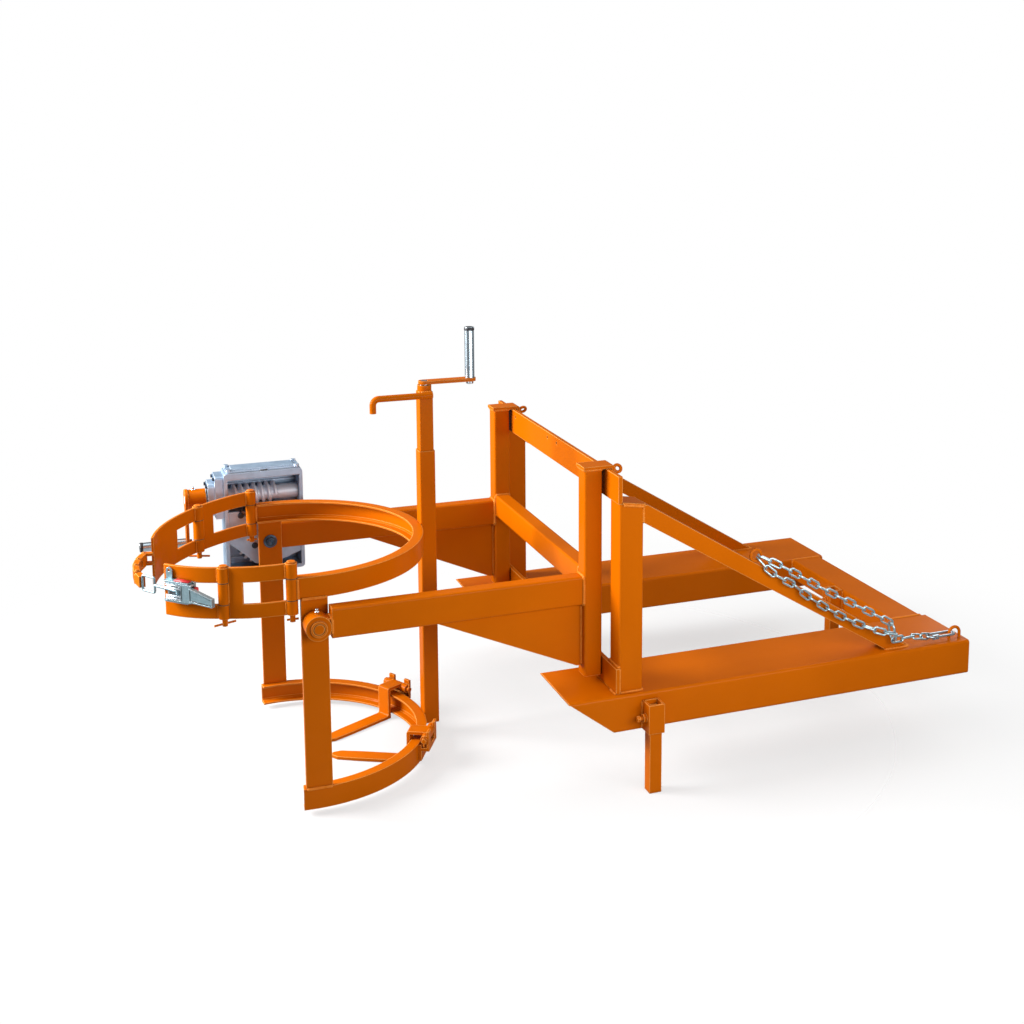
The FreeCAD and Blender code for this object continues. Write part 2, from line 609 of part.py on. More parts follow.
# Worm with a real right-hand thread, and its crank
pitch = math.pi * S["module_mm"]
helix = Part.makeHelix(pitch, 6.75 * pitch, 18)
half = pitch / 4 - 0.35
slant = math.tan(math.radians(20))
tooth = [V(18, 0, -half - 7 * slant), V(30, 0, -half + 5 * slant),
         V(30, 0, half - 5 * slant), V(18, 0, half + 7 * slant)]
section = Part.makePolygon(tooth + tooth[:1])
thread = Part.Wire(helix).makePipeShell([section], True, True)
thread.translate(V(0, 0, -5 * pitch))
left_end = S["box_left"]
right_end = S["box_right"] - S["box_wall"] - 1
shaft = turned([(left_end - 98, left_end - 44.2, 11),
                (left_end - 44.2, left_end + 12, S["journal_r"]), (left_end + 12, 38, 19),
                (38, right_end, 20), (right_end, right_end + 6, S["journal_r"])])
worm = shaft.fuse(thread)
worm_place = FreeCAD.Placement(V(0, S["worm_y"], worm_z), TURN["x"])
node(feature("worm_shaft", worm.transformed(worm_place.toMatrix())))


def crank(throw, wide, thick):
    """Flat crank arm along minus X, round at both ends; shaft axis at the origin."""
    flat = Part.makeBox(throw, wide, thick, V(-throw, -wide / 2, 0))
    return flat.fuse([cyl(wide / 2, 0, 0, 0, thick), cyl(wide / 2, -throw, 0, 0, thick)])


throw = S["crank_throw"]
wide = S["crank_wide"]
thick = S["crank_thick"]
arm_shape = crank(throw, wide, thick).fuse(
    [cyl(28, 0, 0, 0, thick), cyl(26, 0, 0, -45.5, 45.5), cyl(5, -throw, 0, -6, 118),
     cyl(8, -throw, 0, -7, 7), cyl(3.5, 13, 0, -15, 18, (1, 0, 0))])
arm_shape = arm_shape.cut(cyl(11, 0, 0, -47, 76)).removeSplitter()
# local Z points to -X, local -X points down
side_turn = ROT(V(0, 0, 1), V(0, 1, 0), V(-1, 0, 0), "ZXY")
side_place = FreeCAD.Placement(V(-197, S["worm_y"], worm_z), side_turn)


def grip_shape(long):
    shell_tube = cyl(S["grip_r"], 0, 0, 0, long).cut(cyl(5.06, 0, 0, -1, long - 6))
    cap_ring = Part.makeSphere(S["grip_r"], V(0, 0, long), V(0, 0, 1), 0, 90, 360)
    flat = Part.makeBox(40, 40, 20, V(-20, -20, long + 3))
    return shell_tube.fuse(cap_ring.cut(flat)).removeSplitter()


node(feature("tilt_crank", arm_shape.transformed(side_place.toMatrix())))
grip_local = grip_shape(S["grip_long"] - 10)
grip_local.translate(V(-throw, 0, thick + 0.3))
node(feature("tilt_grip", grip_local.transformed(side_place.toMatrix())))


# Cradle: two rolled channels, straps, mast
def channel(name, low):
    """Rolled channel ring, web outside, open to the rear by the sheet angle."""
    body = doc.addObject("PartDesign::Body", name)
    sketch = body.newObject("Sketcher::SketchObject", name + "_profile")
    sketch.AttachmentSupport = [(plane(body, "XZ_Plane"), "")]
    sketch.MapMode = "FlatFace"
    inner = "ring_r-ring_deep"
    polygon(sketch, [(inner, low), ("ring_r", low), ("ring_r", f"{low}+ring_tall"),
                     (inner, f"{low}+ring_tall"), (inner, f"{low}+ring_tall-ring_flange+2"),
                     ("ring_r-ring_web-4", f"{low}+ring_tall-ring_flange"),
                     ("ring_r-ring_web", f"{low}+ring_tall-ring_flange-4"),
                     ("ring_r-ring_web", f"{low}+ring_flange+4"),
                     ("ring_r-ring_web-4", f"{low}+ring_flange"),
                     (inner, f"{low}+ring_flange-2")])
    turn = body.newObject("PartDesign::Revolution", name + "_turn")
    turn.Profile = sketch
    turn.ReferenceAxis = (sketch, ["V_Axis"])
    turn.Midplane = True
    turn.setExpression("Angle", E("ring_arc"))
    return body


ring_low = node(channel("ring_lower_channel", "0"), "ring_lower")
ring_top = channel("ring_upper_channel", "ring_up")


def barrels(name, x, y, spans):
    return [rod(f"{name}_{i}", "z", "knuckle_r", x, y, low, f"({high})-({low})")
            for i, (low, high) in enumerate(spans)]


hinge_sides = []
for side, sign in (("far", ""), ("near", "-")):
    y = f"{sign}ring_hinge_y"
    outer_barrel = barrels("ring_barrel_" + side, "ring_hinge_x", y,
                           [("ring_up", "ring_up+ring_tall")])[0]
    hinge_sides.append(outer_barrel)
ring_bores = [rod("ring_bore_" + side, "z", "pin_r", "ring_hinge_x", f"{sign}ring_hinge_y",
                  "ring_up-1", "ring_tall+2") for side, sign in (("far", ""), ("near", "-"))]
node(cut("ring_upper", fuse("ring_upper_whole", ring_top, *hinge_sides), *ring_bores))


def t_pin(x, y, low, high, bar_z, bar_long, turn):
    """Hinge pin with a flat head and a cross bar through its lower end."""
    pin = cyl(S["pin_r"], x, y, low, high - low).fuse(cyl(9, x, y, high - 3.5, 3.5))
    ahead = V(math.cos(turn), math.sin(turn), 0)
    start = V(x, y, bar_z).sub(ahead * (bar_long / 2))
    return pin.fuse(Part.makeCylinder(2.5, bar_long, start, ahead)).removeSplitter()


pin_low = S["gate_low"] - S["t_pin_drop"]
ring_pins = [t_pin(S["ring_hinge_x"], sign * S["ring_hinge_y"], pin_low, S["gate_top"] + 4,
                   pin_low + 5.5, 26, 0) for sign in (1, -1)]
node(feature("ring_hinge_pins", Part.makeCompound(ring_pins)))

straps = [box("strap_" + side, "-strap_wide/2", "strap_wide/2", y0, y1, "ring_tall", "ring_up")
          for side, y0, y1 in (("far", "ring_r-strap_thick", "ring_r"),
                               ("near", "-ring_r", "-ring_r+strap_thick"))]
node(group("cradle_straps", *straps))

mast_tube = tube("mast_profile", "z", "mast_front", "mast_front+mast_wide", "-mast_wide/2",
                 "mast_wide/2", "mast_low", "mast_top", "mast_wall", "4")
saddle = rod("mast_saddle", "z", "ring_r", "0", "0", "ring_up", "ring_tall")
saddle_low = rod("mast_saddle_low", "z", "ring_r", "0", "0", "mast_low-1", "ring_tall-mast_low+1")
nut = box("nut_block", "mast_front+mast_wall", "mast_front+mast_wide-mast_wall",
          "-mast_wide/2+mast_wall", "mast_wide/2-mast_wall", "250", "285")
MAST_X = "(mast_front+mast_wide/2)"
nut_bore = rod("nut_bore", "z", "spindle_r+run_gap", MAST_X, "0", "249", "37")
node(cut("mast_tube", fuse("mast_whole", mast_tube, nut), saddle, saddle_low, nut_bore))

shafts = []
for y, long, groove in ((-377, 54, -375), (323, 117.5, None)):
    shaft = cyl(S["shaft_r"], 0, y, S["tilt_z"], long, (0, 1, 0))
    if groove:
        ring_cut = cyl(13.5, 0, -379, S["tilt_z"], 4, (0, 1, 0)).cut(
            cyl(11.5, 0, -380, S["tilt_z"], 6, (0, 1, 0)))
        shaft = shaft.cut(ring_cut)
        shaft = shaft.fuse(cyl(28, 0, -330.7, S["tilt_z"], 7.7, (0, 1, 0)))
    else:
        shaft = shaft.fuse(cyl(28, 0, 323, S["tilt_z"], 7.7, (0, 1, 0)))
    shafts.append(shaft.removeSplitter())
node(feature("tilt_shafts", Part.makeCompound(shafts)))

strap_bolts = []
for sign in (1, -1):
    inner_face = S["ring_r"] - S["strap_thick"]
    washer = cyl(13.5, 0, sign * inner_face, S["tilt_z"], 2.5, (0, -sign, 0))
    head = cyl(10, 0, sign * (inner_face - 2.4), S["tilt_z"], 4.5, (0, -sign, 0))
    socket_cut = cyl(3.5, 0, sign * (inner_face - 4), S["tilt_z"], 8, (0, -sign, 0))
    strap_bolts.append(washer.fuse(head).cut(socket_cut).removeSplitter())
node(feature("strap_bolts", Part.makeCompound(strap_bolts)))

# Worm wheel: teeth follow the worm's lead, a gap faces the worm
def wheel_line(y, skew):
    """Closed outline of all teeth, turned by skew, at height y on the shaft."""
    flank = ((-6, 0.0635), (-2.7, 0.0581), (0, 0.0479), (2.5, 0.0356), (5, 0.0215))
    count = int(S["wheel_teeth"])
    pitch_r = S["module_mm"] * count / 2
    spots = []
    for i in range(count):
        middle = 2 * math.pi * i / count
        side_a = [(pitch_r + d, middle - a) for d, a in flank]
        side_b = [(pitch_r + d, middle + a) for d, a in reversed(flank)]
        spots += side_a + side_b
    ring_points = [V(r * math.cos(a - skew), y, S["tilt_z"] + r * math.sin(a - skew))
                   for r, a in spots]
    return Part.makePolygon(ring_points + ring_points[:1])


lead = S["module_mm"] / (2 * S["worm_pitch_r"])
skew = lead * S["wheel_half"] / (S["module_mm"] * S["wheel_teeth"] / 2)
wheel_low = wheel_line(S["worm_y"] - S["wheel_half"], -skew)
wheel_high = wheel_line(S["worm_y"] + S["wheel_half"], skew)
wheel = Part.makeLoft([wheel_low, wheel_high], True, True)
wheel = wheel.fuse(cyl(27, 0, 391.5, S["tilt_z"], 35, (0, 1, 0)))
wheel = wheel.cut(cyl(S["shaft_r"], 0, 380, S["tilt_z"], 60, (0, 1, 0)))
node(feature("worm_wheel", wheel))


# Fold-up support fingers on the lower ring
def radial(shape, angle):
    """Turn a shape drawn along plus X to its place on the ring."""
    return shape.transformed(FreeCAD.Placement(V(), ROT(V(0, 0, 1), angle)).toMatrix())


hinge_r = S["finger_hinge_r"]
hinge_z = S["finger_hinge_z"]
wide_f = S["finger_wide"]


def finger():
    thick_f = S["finger_thick"]
    floor = S["leg_foot"] + 1
    strap_x = S["ring_r"] - S["ring_deep"] - 4 - thick_f
    top = hinge_z + 11
    outline = [(hinge_r, top), (strap_x, top), (strap_x, floor + thick_f),
               (S["finger_tip"], floor + thick_f), (S["finger_tip"], floor),
               (strap_x + thick_f, floor), (strap_x + thick_f, top - thick_f),
               (hinge_r, top - thick_f)]
    face = Part.Face(Part.makePolygon([V(x, -wide_f / 2, z) for x, z in outline + outline[:1]]))
    solid = face.extrude(V(0, wide_f, 0))
    bends = [e for e in solid.Edges if along(e, "y", wide_f)
             and abs(e.CenterOfMass.x - strap_x) < 0.01]
    solid = solid.makeFillet(6, bends)
    taper = [(S["finger_tip"] - 1, -30), (S["finger_tip"] - 1, -6), (S["finger_tip"] + 18, -17),
             (S["finger_tip"] + 75, -19.2), (S["finger_tip"] + 75, -30)]
    for sign in (1, -1):
        corner = Part.Face(Part.makePolygon([V(x, sign * y, floor - 1) for x, y in
                                             taper + taper[:1]])).extrude(V(0, 0, 20))
        solid = solid.cut(corner)
    barrel = cyl(11, hinge_r, -wide_f / 2, hinge_z, wide_f, (0, 1, 0))
    return solid.fuse(barrel).cut(cyl(6.06, hinge_r, -30, hinge_z, 60, (0, 1, 0))).removeSplitter()


def bracket():
    """Plate on the ring's outer face with two barrels and the pin through them."""
    gap = 0.3
    back = Part.makeBox(8, 78, 40, V(S["ring_r"] - 3, -39, 6)).cut(
        cyl(S["ring_r"], 0, 0, -5, 60))
    plate = Part.makeBox(6, 78, 50, V(hinge_r + 5.3, -39, 31)).fuse(
        Part.makeBox(16, 78, 8, V(S["ring_r"] + 3, -39, 31)))
    plate = plate.cut(Part.makeBox(12, wide_f + 2 * gap, 45, V(hinge_r + 3, -wide_f / 2 - gap, 42)))
    whole = back.fuse(plate)
    for y in (-39, wide_f / 2 + gap):
        whole = whole.fuse(cyl(11, hinge_r, y, hinge_z, 39 - wide_f / 2 - gap, (0, 1, 0)))
    pin = cyl(6, hinge_r, -48, hinge_z, 94, (0, 1, 0)).fuse(
        cyl(9.5, hinge_r, 39, hinge_z, 7, (0, 1, 0)))
    pin = pin.fuse(cyl(2.2, hinge_r, -45, hinge_z - 13, 26))
    return whole.fuse(pin).removeSplitter()


brackets = []
for side, sign in (("far", 1), ("near", -1)):
    angle = sign * S["finger_angle"]
    node(feature("support_finger_" + side, radial(finger(), angle)))
    brackets.append(radial(bracket(), angle))
node(feature("finger_brackets", Part.makeCompound(brackets)))

# Rim clamp: inner tube with collar, bent hook, spindle, crank and grip
inner_tube = tube("inner_profile", "z", f"{MAST_X}-inner_wide/2", f"{MAST_X}+inner_wide/2",
                  "-inner_wide/2", "inner_wide/2", "inner_low", "inner_top", "inner_wall", "3")
inner_lid = box("inner_lid", f"{MAST_X}-inner_wide/2+2", f"{MAST_X}+inner_wide/2-2",
                "-inner_wide/2+2", "inner_wide/2-2", "inner_top-8", "inner_top")
collar = rod("inner_collar", "z", "inner_wide/2", MAST_X, "0", "inner_top", "collar_top-inner_top")
inner_bore = rod("inner_bore", "z", "spindle_r+run_gap", MAST_X, "0", "inner_top-9", "30")
node(cut("inner_tube", fuse("inner_whole", inner_tube, inner_lid, collar), inner_bore))

mast_x = S["mast_front"] + S["mast_wide"] / 2
hook_y = -S["inner_wide"] / 2 - S["hook_bar_r"]
hook_z = 877
hook_bar = bar([(mast_x + 14, hook_y, hook_z), (207, hook_y, hook_z), (207, hook_y, 842)],
               15, S["hook_bar_r"])
bead = Part.makeBox(26, 5, 5, V(mast_x - 13, -S["inner_wide"] / 2 - 5, hook_z + 2))
node(feature("rim_hook", hook_bar.fuse(bead).removeSplitter()))

spindle = cyl(S["spindle_r"], mast_x, 0, S["spindle_low"], 910 - S["spindle_low"])
node(feature("lift_spindle", spindle.fuse(
    cyl(13, mast_x, 0, S["collar_top"] + 0.1, 1.9)).removeSplitter()))
lift_shape = crank(throw, wide, thick).fuse(
    [cyl(5, -throw, 0, -6, 128), cyl(8, -throw, 0, -7, 7)])
lift_shape = lift_shape.cut(cyl(S["spindle_r"], 0, 0, -5, 30)).removeSplitter()
lift_place = FreeCAD.Placement(V(mast_x, 0, 902), ROT(V(0, 0, 1), 180))
node(feature("lift_crank", lift_shape.transformed(lift_place.toMatrix())))
grip_local = grip_shape(S["grip_long"])
grip_local.translate(V(-throw, 0, thick + 0.3))
node(feature("lift_grip", grip_local.transformed(lift_place.toMatrix())))


# Gates: curved plates with hinge knuckles, drawn at +Y and mirrored by sign
def shell_arc(inner_r, outer_r, start, end, low, high):
    """Curved plate between two angles counted from minus X towards plus Y."""
    ring_solid = Part.makeCylinder(outer_r, high - low, V(0, 0, low), V(0, 0, 1), end - start)
    ring_solid = ring_solid.cut(cyl(inner_r, 0, 0, low - 1, high - low + 2))
    return ring_solid.transformed(FreeCAD.Placement(V(), ROT(V(0, 0, 1), 180 - end)).toMatrix())


R_IN = S["gate_in"]
R_OUT = S["gate_out"]
LOW = S["gate_low"]
TOP = S["gate_top"]
UP = S["ring_up"]
UP_TOP = S["ring_up"] + S["ring_tall"]
GAP = 0.3
mid_rad = math.radians(S["mid_angle"])
mid_x = -(R_OUT - 3) * math.cos(mid_rad)
mid_y = (R_OUT - 3) * math.sin(mid_rad)
ring_x = S["ring_hinge_x"]
ring_y = S["ring_hinge_y"]
DIP = math.tan(math.radians(S["gate_dip"]))
MID_DROP = DIP * (ring_x - mid_x)
ring_turn = math.degrees(math.atan2(ring_y, -ring_x))
K = S["knuckle_r"]


def dipped(inner_r, outer_r, start, end, low, high):
    """Curved plate whose upper and lower edges run down towards the front."""
    line = [(x, z - DIP * (ring_x - x)) for x, z in
            ((50, low), (-400, low), (-400, high), (50, high))]
    slab = Part.Face(Part.makePolygon([V(x, -400, z) for x, z in line + line[:1]]))
    tall_arc = shell_arc(inner_r, outer_r, start, end, low - 60, high + 60)
    return tall_arc.common(slab.extrude(V(0, 800, 0)))


def knuckles(x, y, drop, spans):
    return [cyl(K, x, y, low - drop, high - low) for low, high in spans]


def rear_gate():
    plate = dipped(R_IN, R_OUT, S["mid_angle"] + 0.6, ring_turn - 0.4, LOW, TOP)
    # window from the ring knuckle forward
    plate = plate.cut(dipped(R_IN - 5, R_OUT + 5, 62.2, ring_turn + 3, UP, UP_TOP))
    plate = plate.cut(cyl(K + 0.6, ring_x, ring_y, UP - GAP, UP_TOP - UP + 2 * GAP))
    # room for the front gate's knuckles
    for low, high in ((LOW - 5, UP), (UP_TOP, TOP + 5)):
        plate = plate.cut(cyl(K + 0.6, mid_x, mid_y, low - MID_DROP, high - low))
    plate = plate.fuse(knuckles(ring_x, ring_y, 0, ((LOW, UP - GAP), (UP_TOP + GAP, TOP))))
    plate = plate.fuse(knuckles(mid_x, mid_y, MID_DROP, ((UP + GAP, UP_TOP - GAP),)))
    plate = plate.cut(cyl(6.06, ring_x, ring_y, LOW - 5, TOP - LOW + 10))
    plate = plate.cut(cyl(6.0, mid_x, mid_y, LOW - 30, TOP - LOW + 40)).removeSplitter()
    low_end = LOW - MID_DROP - S["t_pin_drop"]
    pin = t_pin(mid_x, mid_y, low_end, TOP - MID_DROP + 4, low_end + 5.5, 52,
                math.radians(160))
    return Part.makeCompound([plate, pin])


def front_gate(edge, notch):
    plate = dipped(R_IN, R_OUT, edge, S["mid_angle"] - 0.6, LOW, TOP)
    plate = plate.cut(dipped(R_IN - 5, R_OUT + 5, notch, S["mid_angle"] + 3, UP, UP_TOP))
    plate = plate.cut(cyl(K + 0.6, mid_x, mid_y, UP - MID_DROP - 1, UP_TOP - UP + 2))
    plate = plate.fuse(knuckles(mid_x, mid_y, MID_DROP,
                                ((LOW, UP - GAP), (UP_TOP + GAP, TOP))))
    return plate.cut(cyl(6.06, mid_x, mid_y, LOW - 30, TOP - LOW + 40)).removeSplitter()


def flip(shape):
    return shape.mirror(V(), V(0, 1, 0))


node(feature("gate_rear_far", rear_gate()))
node(feature("gate_rear_near", flip(rear_gate())))
near_swing = FreeCAD.Placement(V(), ROT(V(0, 0, 1), S["near_swing"]), V(mid_x, -mid_y, 0))
near_front = flip(front_gate(S["near_edge"], 39.3)).transformed(near_swing.toMatrix())
node(feature("gate_front_near", near_front))

# Block chain across the front, from the far gate to the latch
LZ = S["latch_z"]
pins_xy = [(-333, 58), (-349, 17), (-358, -27), (-358, -72), (-349, -116)]
W = S["link_wide"]
PR = S["link_pin_r"]


def link_part(a, b, spans_start, spans_end, solid_end):
    """One block link from pin a to pin b, built along plus X, then placed."""
    long = math.dist(a, b)
    tall = 26 if solid_end else 30
    stop = long - 3.2 if solid_end else long - 9.5
    shape = Part.makeBox(stop - 9.5, W, tall, V(9.5, -W / 2, LZ - tall / 2))
    for low, high in spans_start:
        shape = shape.fuse(Part.makeBox(10, W, high - low, V(0, -W / 2, low)))
        shape = shape.fuse(cyl(W / 2, 0, 0, low, high - low))
    for low, high in spans_end:
        shape = shape.fuse(Part.makeBox(10, W, high - low, V(long - 10, -W / 2, low)))
        shape = shape.fuse(cyl(W / 2, long, 0, low, high - low))
    shape = shape.cut(cyl(PR + 0.06, 0, 0, LZ - 20, 40))
    if not solid_end:
        shape = shape.fuse(cyl(PR, long, 0, LZ - 17, 34))
    turn = math.degrees(math.atan2(b[1] - a[1], b[0] - a[0]))
    place = FreeCAD.Placement(V(a[0], a[1], 0), ROT(V(0, 0, 1), turn))
    return shape.removeSplitter().transformed(place.toMatrix())


TONGUE = ((LZ - 7.7, LZ + 7.7),)
FORK = ((LZ - 15, LZ - 8), (LZ + 8, LZ + 15))
far_plate_shape = front_gate(S["far_edge"] * -1, 39.3)
lug_x, lug_y = pins_xy[0]
lug = None
for low, high in FORK:
    arm_box = Part.makeBox(22, W, high - low, V(0, -W / 2, low))
    turn = math.degrees(math.atan2(lug_y, lug_x)) + 180
    arm_box = arm_box.transformed(FreeCAD.Placement(
        V(lug_x, lug_y, 0), ROT(V(0, 0, 1), turn)).toMatrix())
    piece = arm_box.fuse(cyl(W / 2, lug_x, lug_y, low, high - low))
    lug = piece if lug is None else lug.fuse(piece)
lug = lug.cut(cyl(R_IN + 2, 0, 0, LZ - 20, 40))
lug = lug.fuse(cyl(PR, lug_x, lug_y, LZ - 17, 34))
node(feature("gate_front_far", far_plate_shape.fuse(lug).removeSplitter()))
for i in range(4):
    last = i == 3
    ends = () if last else FORK
    node(feature(f"chain_link_{i + 1}",
                 link_part(pins_xy[i], pins_xy[i + 1], TONGUE, ends, last)))

# Over-centre latch on the near front gate, drawn in its own frame:
# local X runs to the gate's front edge, local Y points outwards
phi = math.radians(36)
latch_origin = V(-R_OUT * math.cos(phi), -R_OUT * math.sin(phi), LZ)
latch_ahead = V(-math.sin(phi), math.cos(phi), 0)
latch_out = V(-math.cos(phi), -math.sin(phi), 0)
latch_turn = ROT(latch_ahead, latch_out, V(0, 0, -1), "XYZ")
latch_place = near_swing.multiply(FreeCAD.Placement(latch_origin, latch_turn))
gate_skin = cyl(R_OUT, 0, 0, LZ - 80, 160).transformed(near_swing.toMatrix())


def block(x0, x1, y0, y1, z0, z1):
    return Part.makeBox(x1 - x0, y1 - y0, z1 - z0, V(x0, y0, z0))


def latched(shape):
    return shape.transformed(latch_place.toMatrix())


base = block(-36, 38, -2.6, 3, -23, 23)
for z in (-24, 21):
    base = base.fuse(block(-30, 30, 0, 20, z, z + 3))
    base = base.fuse(cyl(9, 30, 11, z, 3))
for z in (-24, 17):
    base = base.fuse(cyl(3, 22, 13, z, 7))
base = base.fuse(block(24, 40, 2, 5, 22, 42)).fuse(cyl(8, 32, 2, 42, 3, (0, 1, 0)))
base = base.cut(cyl(3.4, 32, -2, 43, 9, (0, 1, 0)))
base = latched(base).cut(gate_skin)
node(feature("latch_base", base.removeSplitter()))


def flat(points, y0, y1):
    """Plate with its outline in local X and Z, from y0 out to y1."""
    face = Part.Face(Part.makePolygon([V(x, y0, z) for x, z in points + points[:1]]))
    return face.extrude(V(0, y1 - y0, 0))


# the handle tapers and hangs a little to its end, its rims stand up on both sides
lever = block(-40, -12, 19, 21.5, -20.5, 20.5)
for z in (-20.5, 18):
    lever = lever.fuse(block(-40, 30, 8, 21.5, z, z + 2.5))
lever = lever.fuse(flat([(-38, 15), (-98, -2), (-98, -21), (-38, -17)], 19, 21.5))
for outline in ([(-38, 15), (-98, -2), (-98, -4.5), (-38, 12.5)],
                [(-38, -14.5), (-98, -18.5), (-98, -21), (-38, -17)],
                [(-95.5, -2.6), (-98, -3.3), (-98, -20.5), (-95.5, -20.3)]):
    lever = lever.fuse(flat(outline, 14, 24.5))
for x in (-8, -1, 6, 13):
    for z in (-19, 6):
        lever = lever.fuse(cyl(1.7, x, 19.8, z, 13))
lever = lever.cut(cyl(3.06, 22, 13, -25, 50))
lever = lever.fuse(cyl(2.5, 2, 12, -20.5, 41))
node(feature("latch_lever", latched(lever).removeSplitter()))

end_x, end_y = pins_xy[-1]
end_local = latch_place.inverse().multVec(V(end_x, end_y, LZ))
pull = V(end_local.x - 2, end_local.y - 12, 0)
reach = pull.Length
hook_shape = bar([(reach - 40, 0, 0), (reach - 40, 0, 17.6), (reach, 0, 17.6),
                  (reach, 0, -17.6), (reach - 40, 0, -17.6), (reach - 40, 0, -0.01)], 5, 2.5)
hook_shape = hook_shape.fuse(cyl(3.2, 0, 0, 0, reach - 39, (1, 0, 0)))
hook_shape = hook_shape.fuse(cyl(5.5, 0, 0, -6, 12)).cut(cyl(2.56, 0, 0, -30, 60))
hook_turn = ROT(V(1, 0, 0), pull)
hook_local = FreeCAD.Placement(V(2, 12, 0), hook_turn)
node(feature("latch_hook", latched(hook_shape.removeSplitter().transformed(
    hook_local.toMatrix()))))

doc.recompute()
for obj in doc.Objects:
    if "Invalid" in obj.State or "Error" in obj.State:
        raise RuntimeError(f"{obj.Name} {obj.State}")
total = 0
for obj in nodes:
    shape = obj.Shape
    if shape.isNull() or not shape.isValid():
        raise RuntimeError(f"{obj.Label} shape is not valid")
    shape.exportStep(f"parts/{obj.Label}.step")
    total += shape.Volume
    print(obj.Label, len(shape.Solids), [round(v, 1) for v in (
        shape.BoundBox.XMin, shape.BoundBox.XMax, shape.BoundBox.YMin, shape.BoundBox.YMax,
        shape.BoundBox.ZMin, shape.BoundBox.ZMax)])
print("nodes", len(nodes), "steel volume", round(total / 1e6, 2), "litres")
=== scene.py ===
# %% [markdown]
# A drum lifter rides on the two forks of a truck: a welded and painted frame, a cradle of
# two steel rings that grips a drum, and an open worm gearbox that tips it. The steelwork
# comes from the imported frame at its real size. This lesson gives it its finishes and adds
# what the paint shop and the welder leave behind.

# %% Load the frame
import math
import random

import bmesh
import bpy
from mathutils import Matrix, Vector


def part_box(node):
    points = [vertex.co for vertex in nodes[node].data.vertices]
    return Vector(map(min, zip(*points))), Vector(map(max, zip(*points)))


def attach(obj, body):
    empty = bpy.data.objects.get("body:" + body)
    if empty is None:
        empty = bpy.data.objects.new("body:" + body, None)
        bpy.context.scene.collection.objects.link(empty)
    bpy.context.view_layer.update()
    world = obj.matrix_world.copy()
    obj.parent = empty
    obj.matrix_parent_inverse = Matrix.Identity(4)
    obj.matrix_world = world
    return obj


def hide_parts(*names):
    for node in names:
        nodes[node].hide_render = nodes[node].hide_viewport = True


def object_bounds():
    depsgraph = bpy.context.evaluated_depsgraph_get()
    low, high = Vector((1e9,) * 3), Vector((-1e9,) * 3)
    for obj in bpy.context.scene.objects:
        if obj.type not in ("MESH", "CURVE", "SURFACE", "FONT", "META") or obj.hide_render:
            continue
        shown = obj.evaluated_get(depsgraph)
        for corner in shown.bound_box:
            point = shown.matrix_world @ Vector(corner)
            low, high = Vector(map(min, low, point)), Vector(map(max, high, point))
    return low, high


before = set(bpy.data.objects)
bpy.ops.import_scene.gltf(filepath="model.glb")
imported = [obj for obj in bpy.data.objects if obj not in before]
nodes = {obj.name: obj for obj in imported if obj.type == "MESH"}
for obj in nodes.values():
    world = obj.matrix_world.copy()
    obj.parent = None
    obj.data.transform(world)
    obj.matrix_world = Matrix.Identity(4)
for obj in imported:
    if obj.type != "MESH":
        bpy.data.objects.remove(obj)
cad_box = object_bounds()
MM = 0.001

# %% [markdown]
# Every finish below is written as sums on the sockets of a shader. Node graphs can be
# wired by hand, but sums read like the maths that they are, so one small class wraps a
# socket: a sum on it adds a Math node, and one method adds every other kind of node.


# %% A socket that takes part in sums
class Socket:
    """A node's output. Sums on it add Math nodes; node() adds any other node."""

    def __init__(self, tree, link):
        self.tree = tree
        self.link = link

    def node(self, kind, settings, values, output=0):
        """Add a node of this type, with its settings first and then its sockets."""
        made = self.tree.nodes.new(kind)
        for name, value in settings.items():
            setattr(made, name, value)
        for name, value in values.items():
            if isinstance(value, Socket):
                self.tree.links.new(value.link, made.inputs[name])
            else:
                made.inputs[name].default_value = value
        return Socket(self.tree, made.outputs[output])

    def math(self, operation, first, second):
        return self.node("ShaderNodeMath", {"operation": operation}, {0: first, 1: second})

    def __add__(self, other):
        return self.math("ADD", self, other)

    def __radd__(self, other):
        return self.math("ADD", other, self)

    def __sub__(self, other):
        return self.math("SUBTRACT", self, other)

    def __rsub__(self, other):
        return self.math("SUBTRACT", other, self)

    def __mul__(self, other):
        return self.math("MULTIPLY", self, other)

    def __rmul__(self, other):
        return self.math("MULTIPLY", other, self)

    def between(self, low, high):
        """0 below low, 1 above high and a smooth step between them."""
        return self.node("ShaderNodeMapRange", {"interpolation_type": "SMOOTHSTEP"},
                         {"Value": self, "From Min": low, "From Max": high})

    def noise(self, scale, detail=2.0, rough=0.5):
        """Soft noise of 0 to 1; scale is in blotches per metre."""
        return self.node("ShaderNodeTexNoise", {"noise_dimensions": "3D"},
                         {"Vector": self, "Scale": scale, "Detail": detail, "Roughness": rough})

    def stretched(self, factors):
        """The same place, stretched along the axes, for brushed or drawn marks."""
        return self.node("ShaderNodeVectorMath", {"operation": "MULTIPLY"}, {0: self, 1: factors})

    def blend(self, low, high):
        """A colour between two colours, by this socket's value."""
        return self.node("ShaderNodeMix", {"data_type": "RGBA"},
                         {"Factor": self, 6: low, 7: high}, 2)


print("sums ready")

# %% [markdown]
# A shader needs a place to read its pattern from. Object coordinates are metres in the
# part's own frame here, so a speck of paint keeps its size on a bolt and on a long rail,
# and it stays on its piece when the piece moves.


# %% Start and finish a material
def start(name):
    """A new material: its surface shader and a socket with the place on the part."""
    made = bpy.data.materials.new(name)
    made.use_nodes = True
    tree = made.node_tree
    surface = tree.nodes["Principled BSDF"]
    place = Socket(tree, tree.nodes.new("ShaderNodeTexCoord").outputs["Object"])
    return made, surface, place


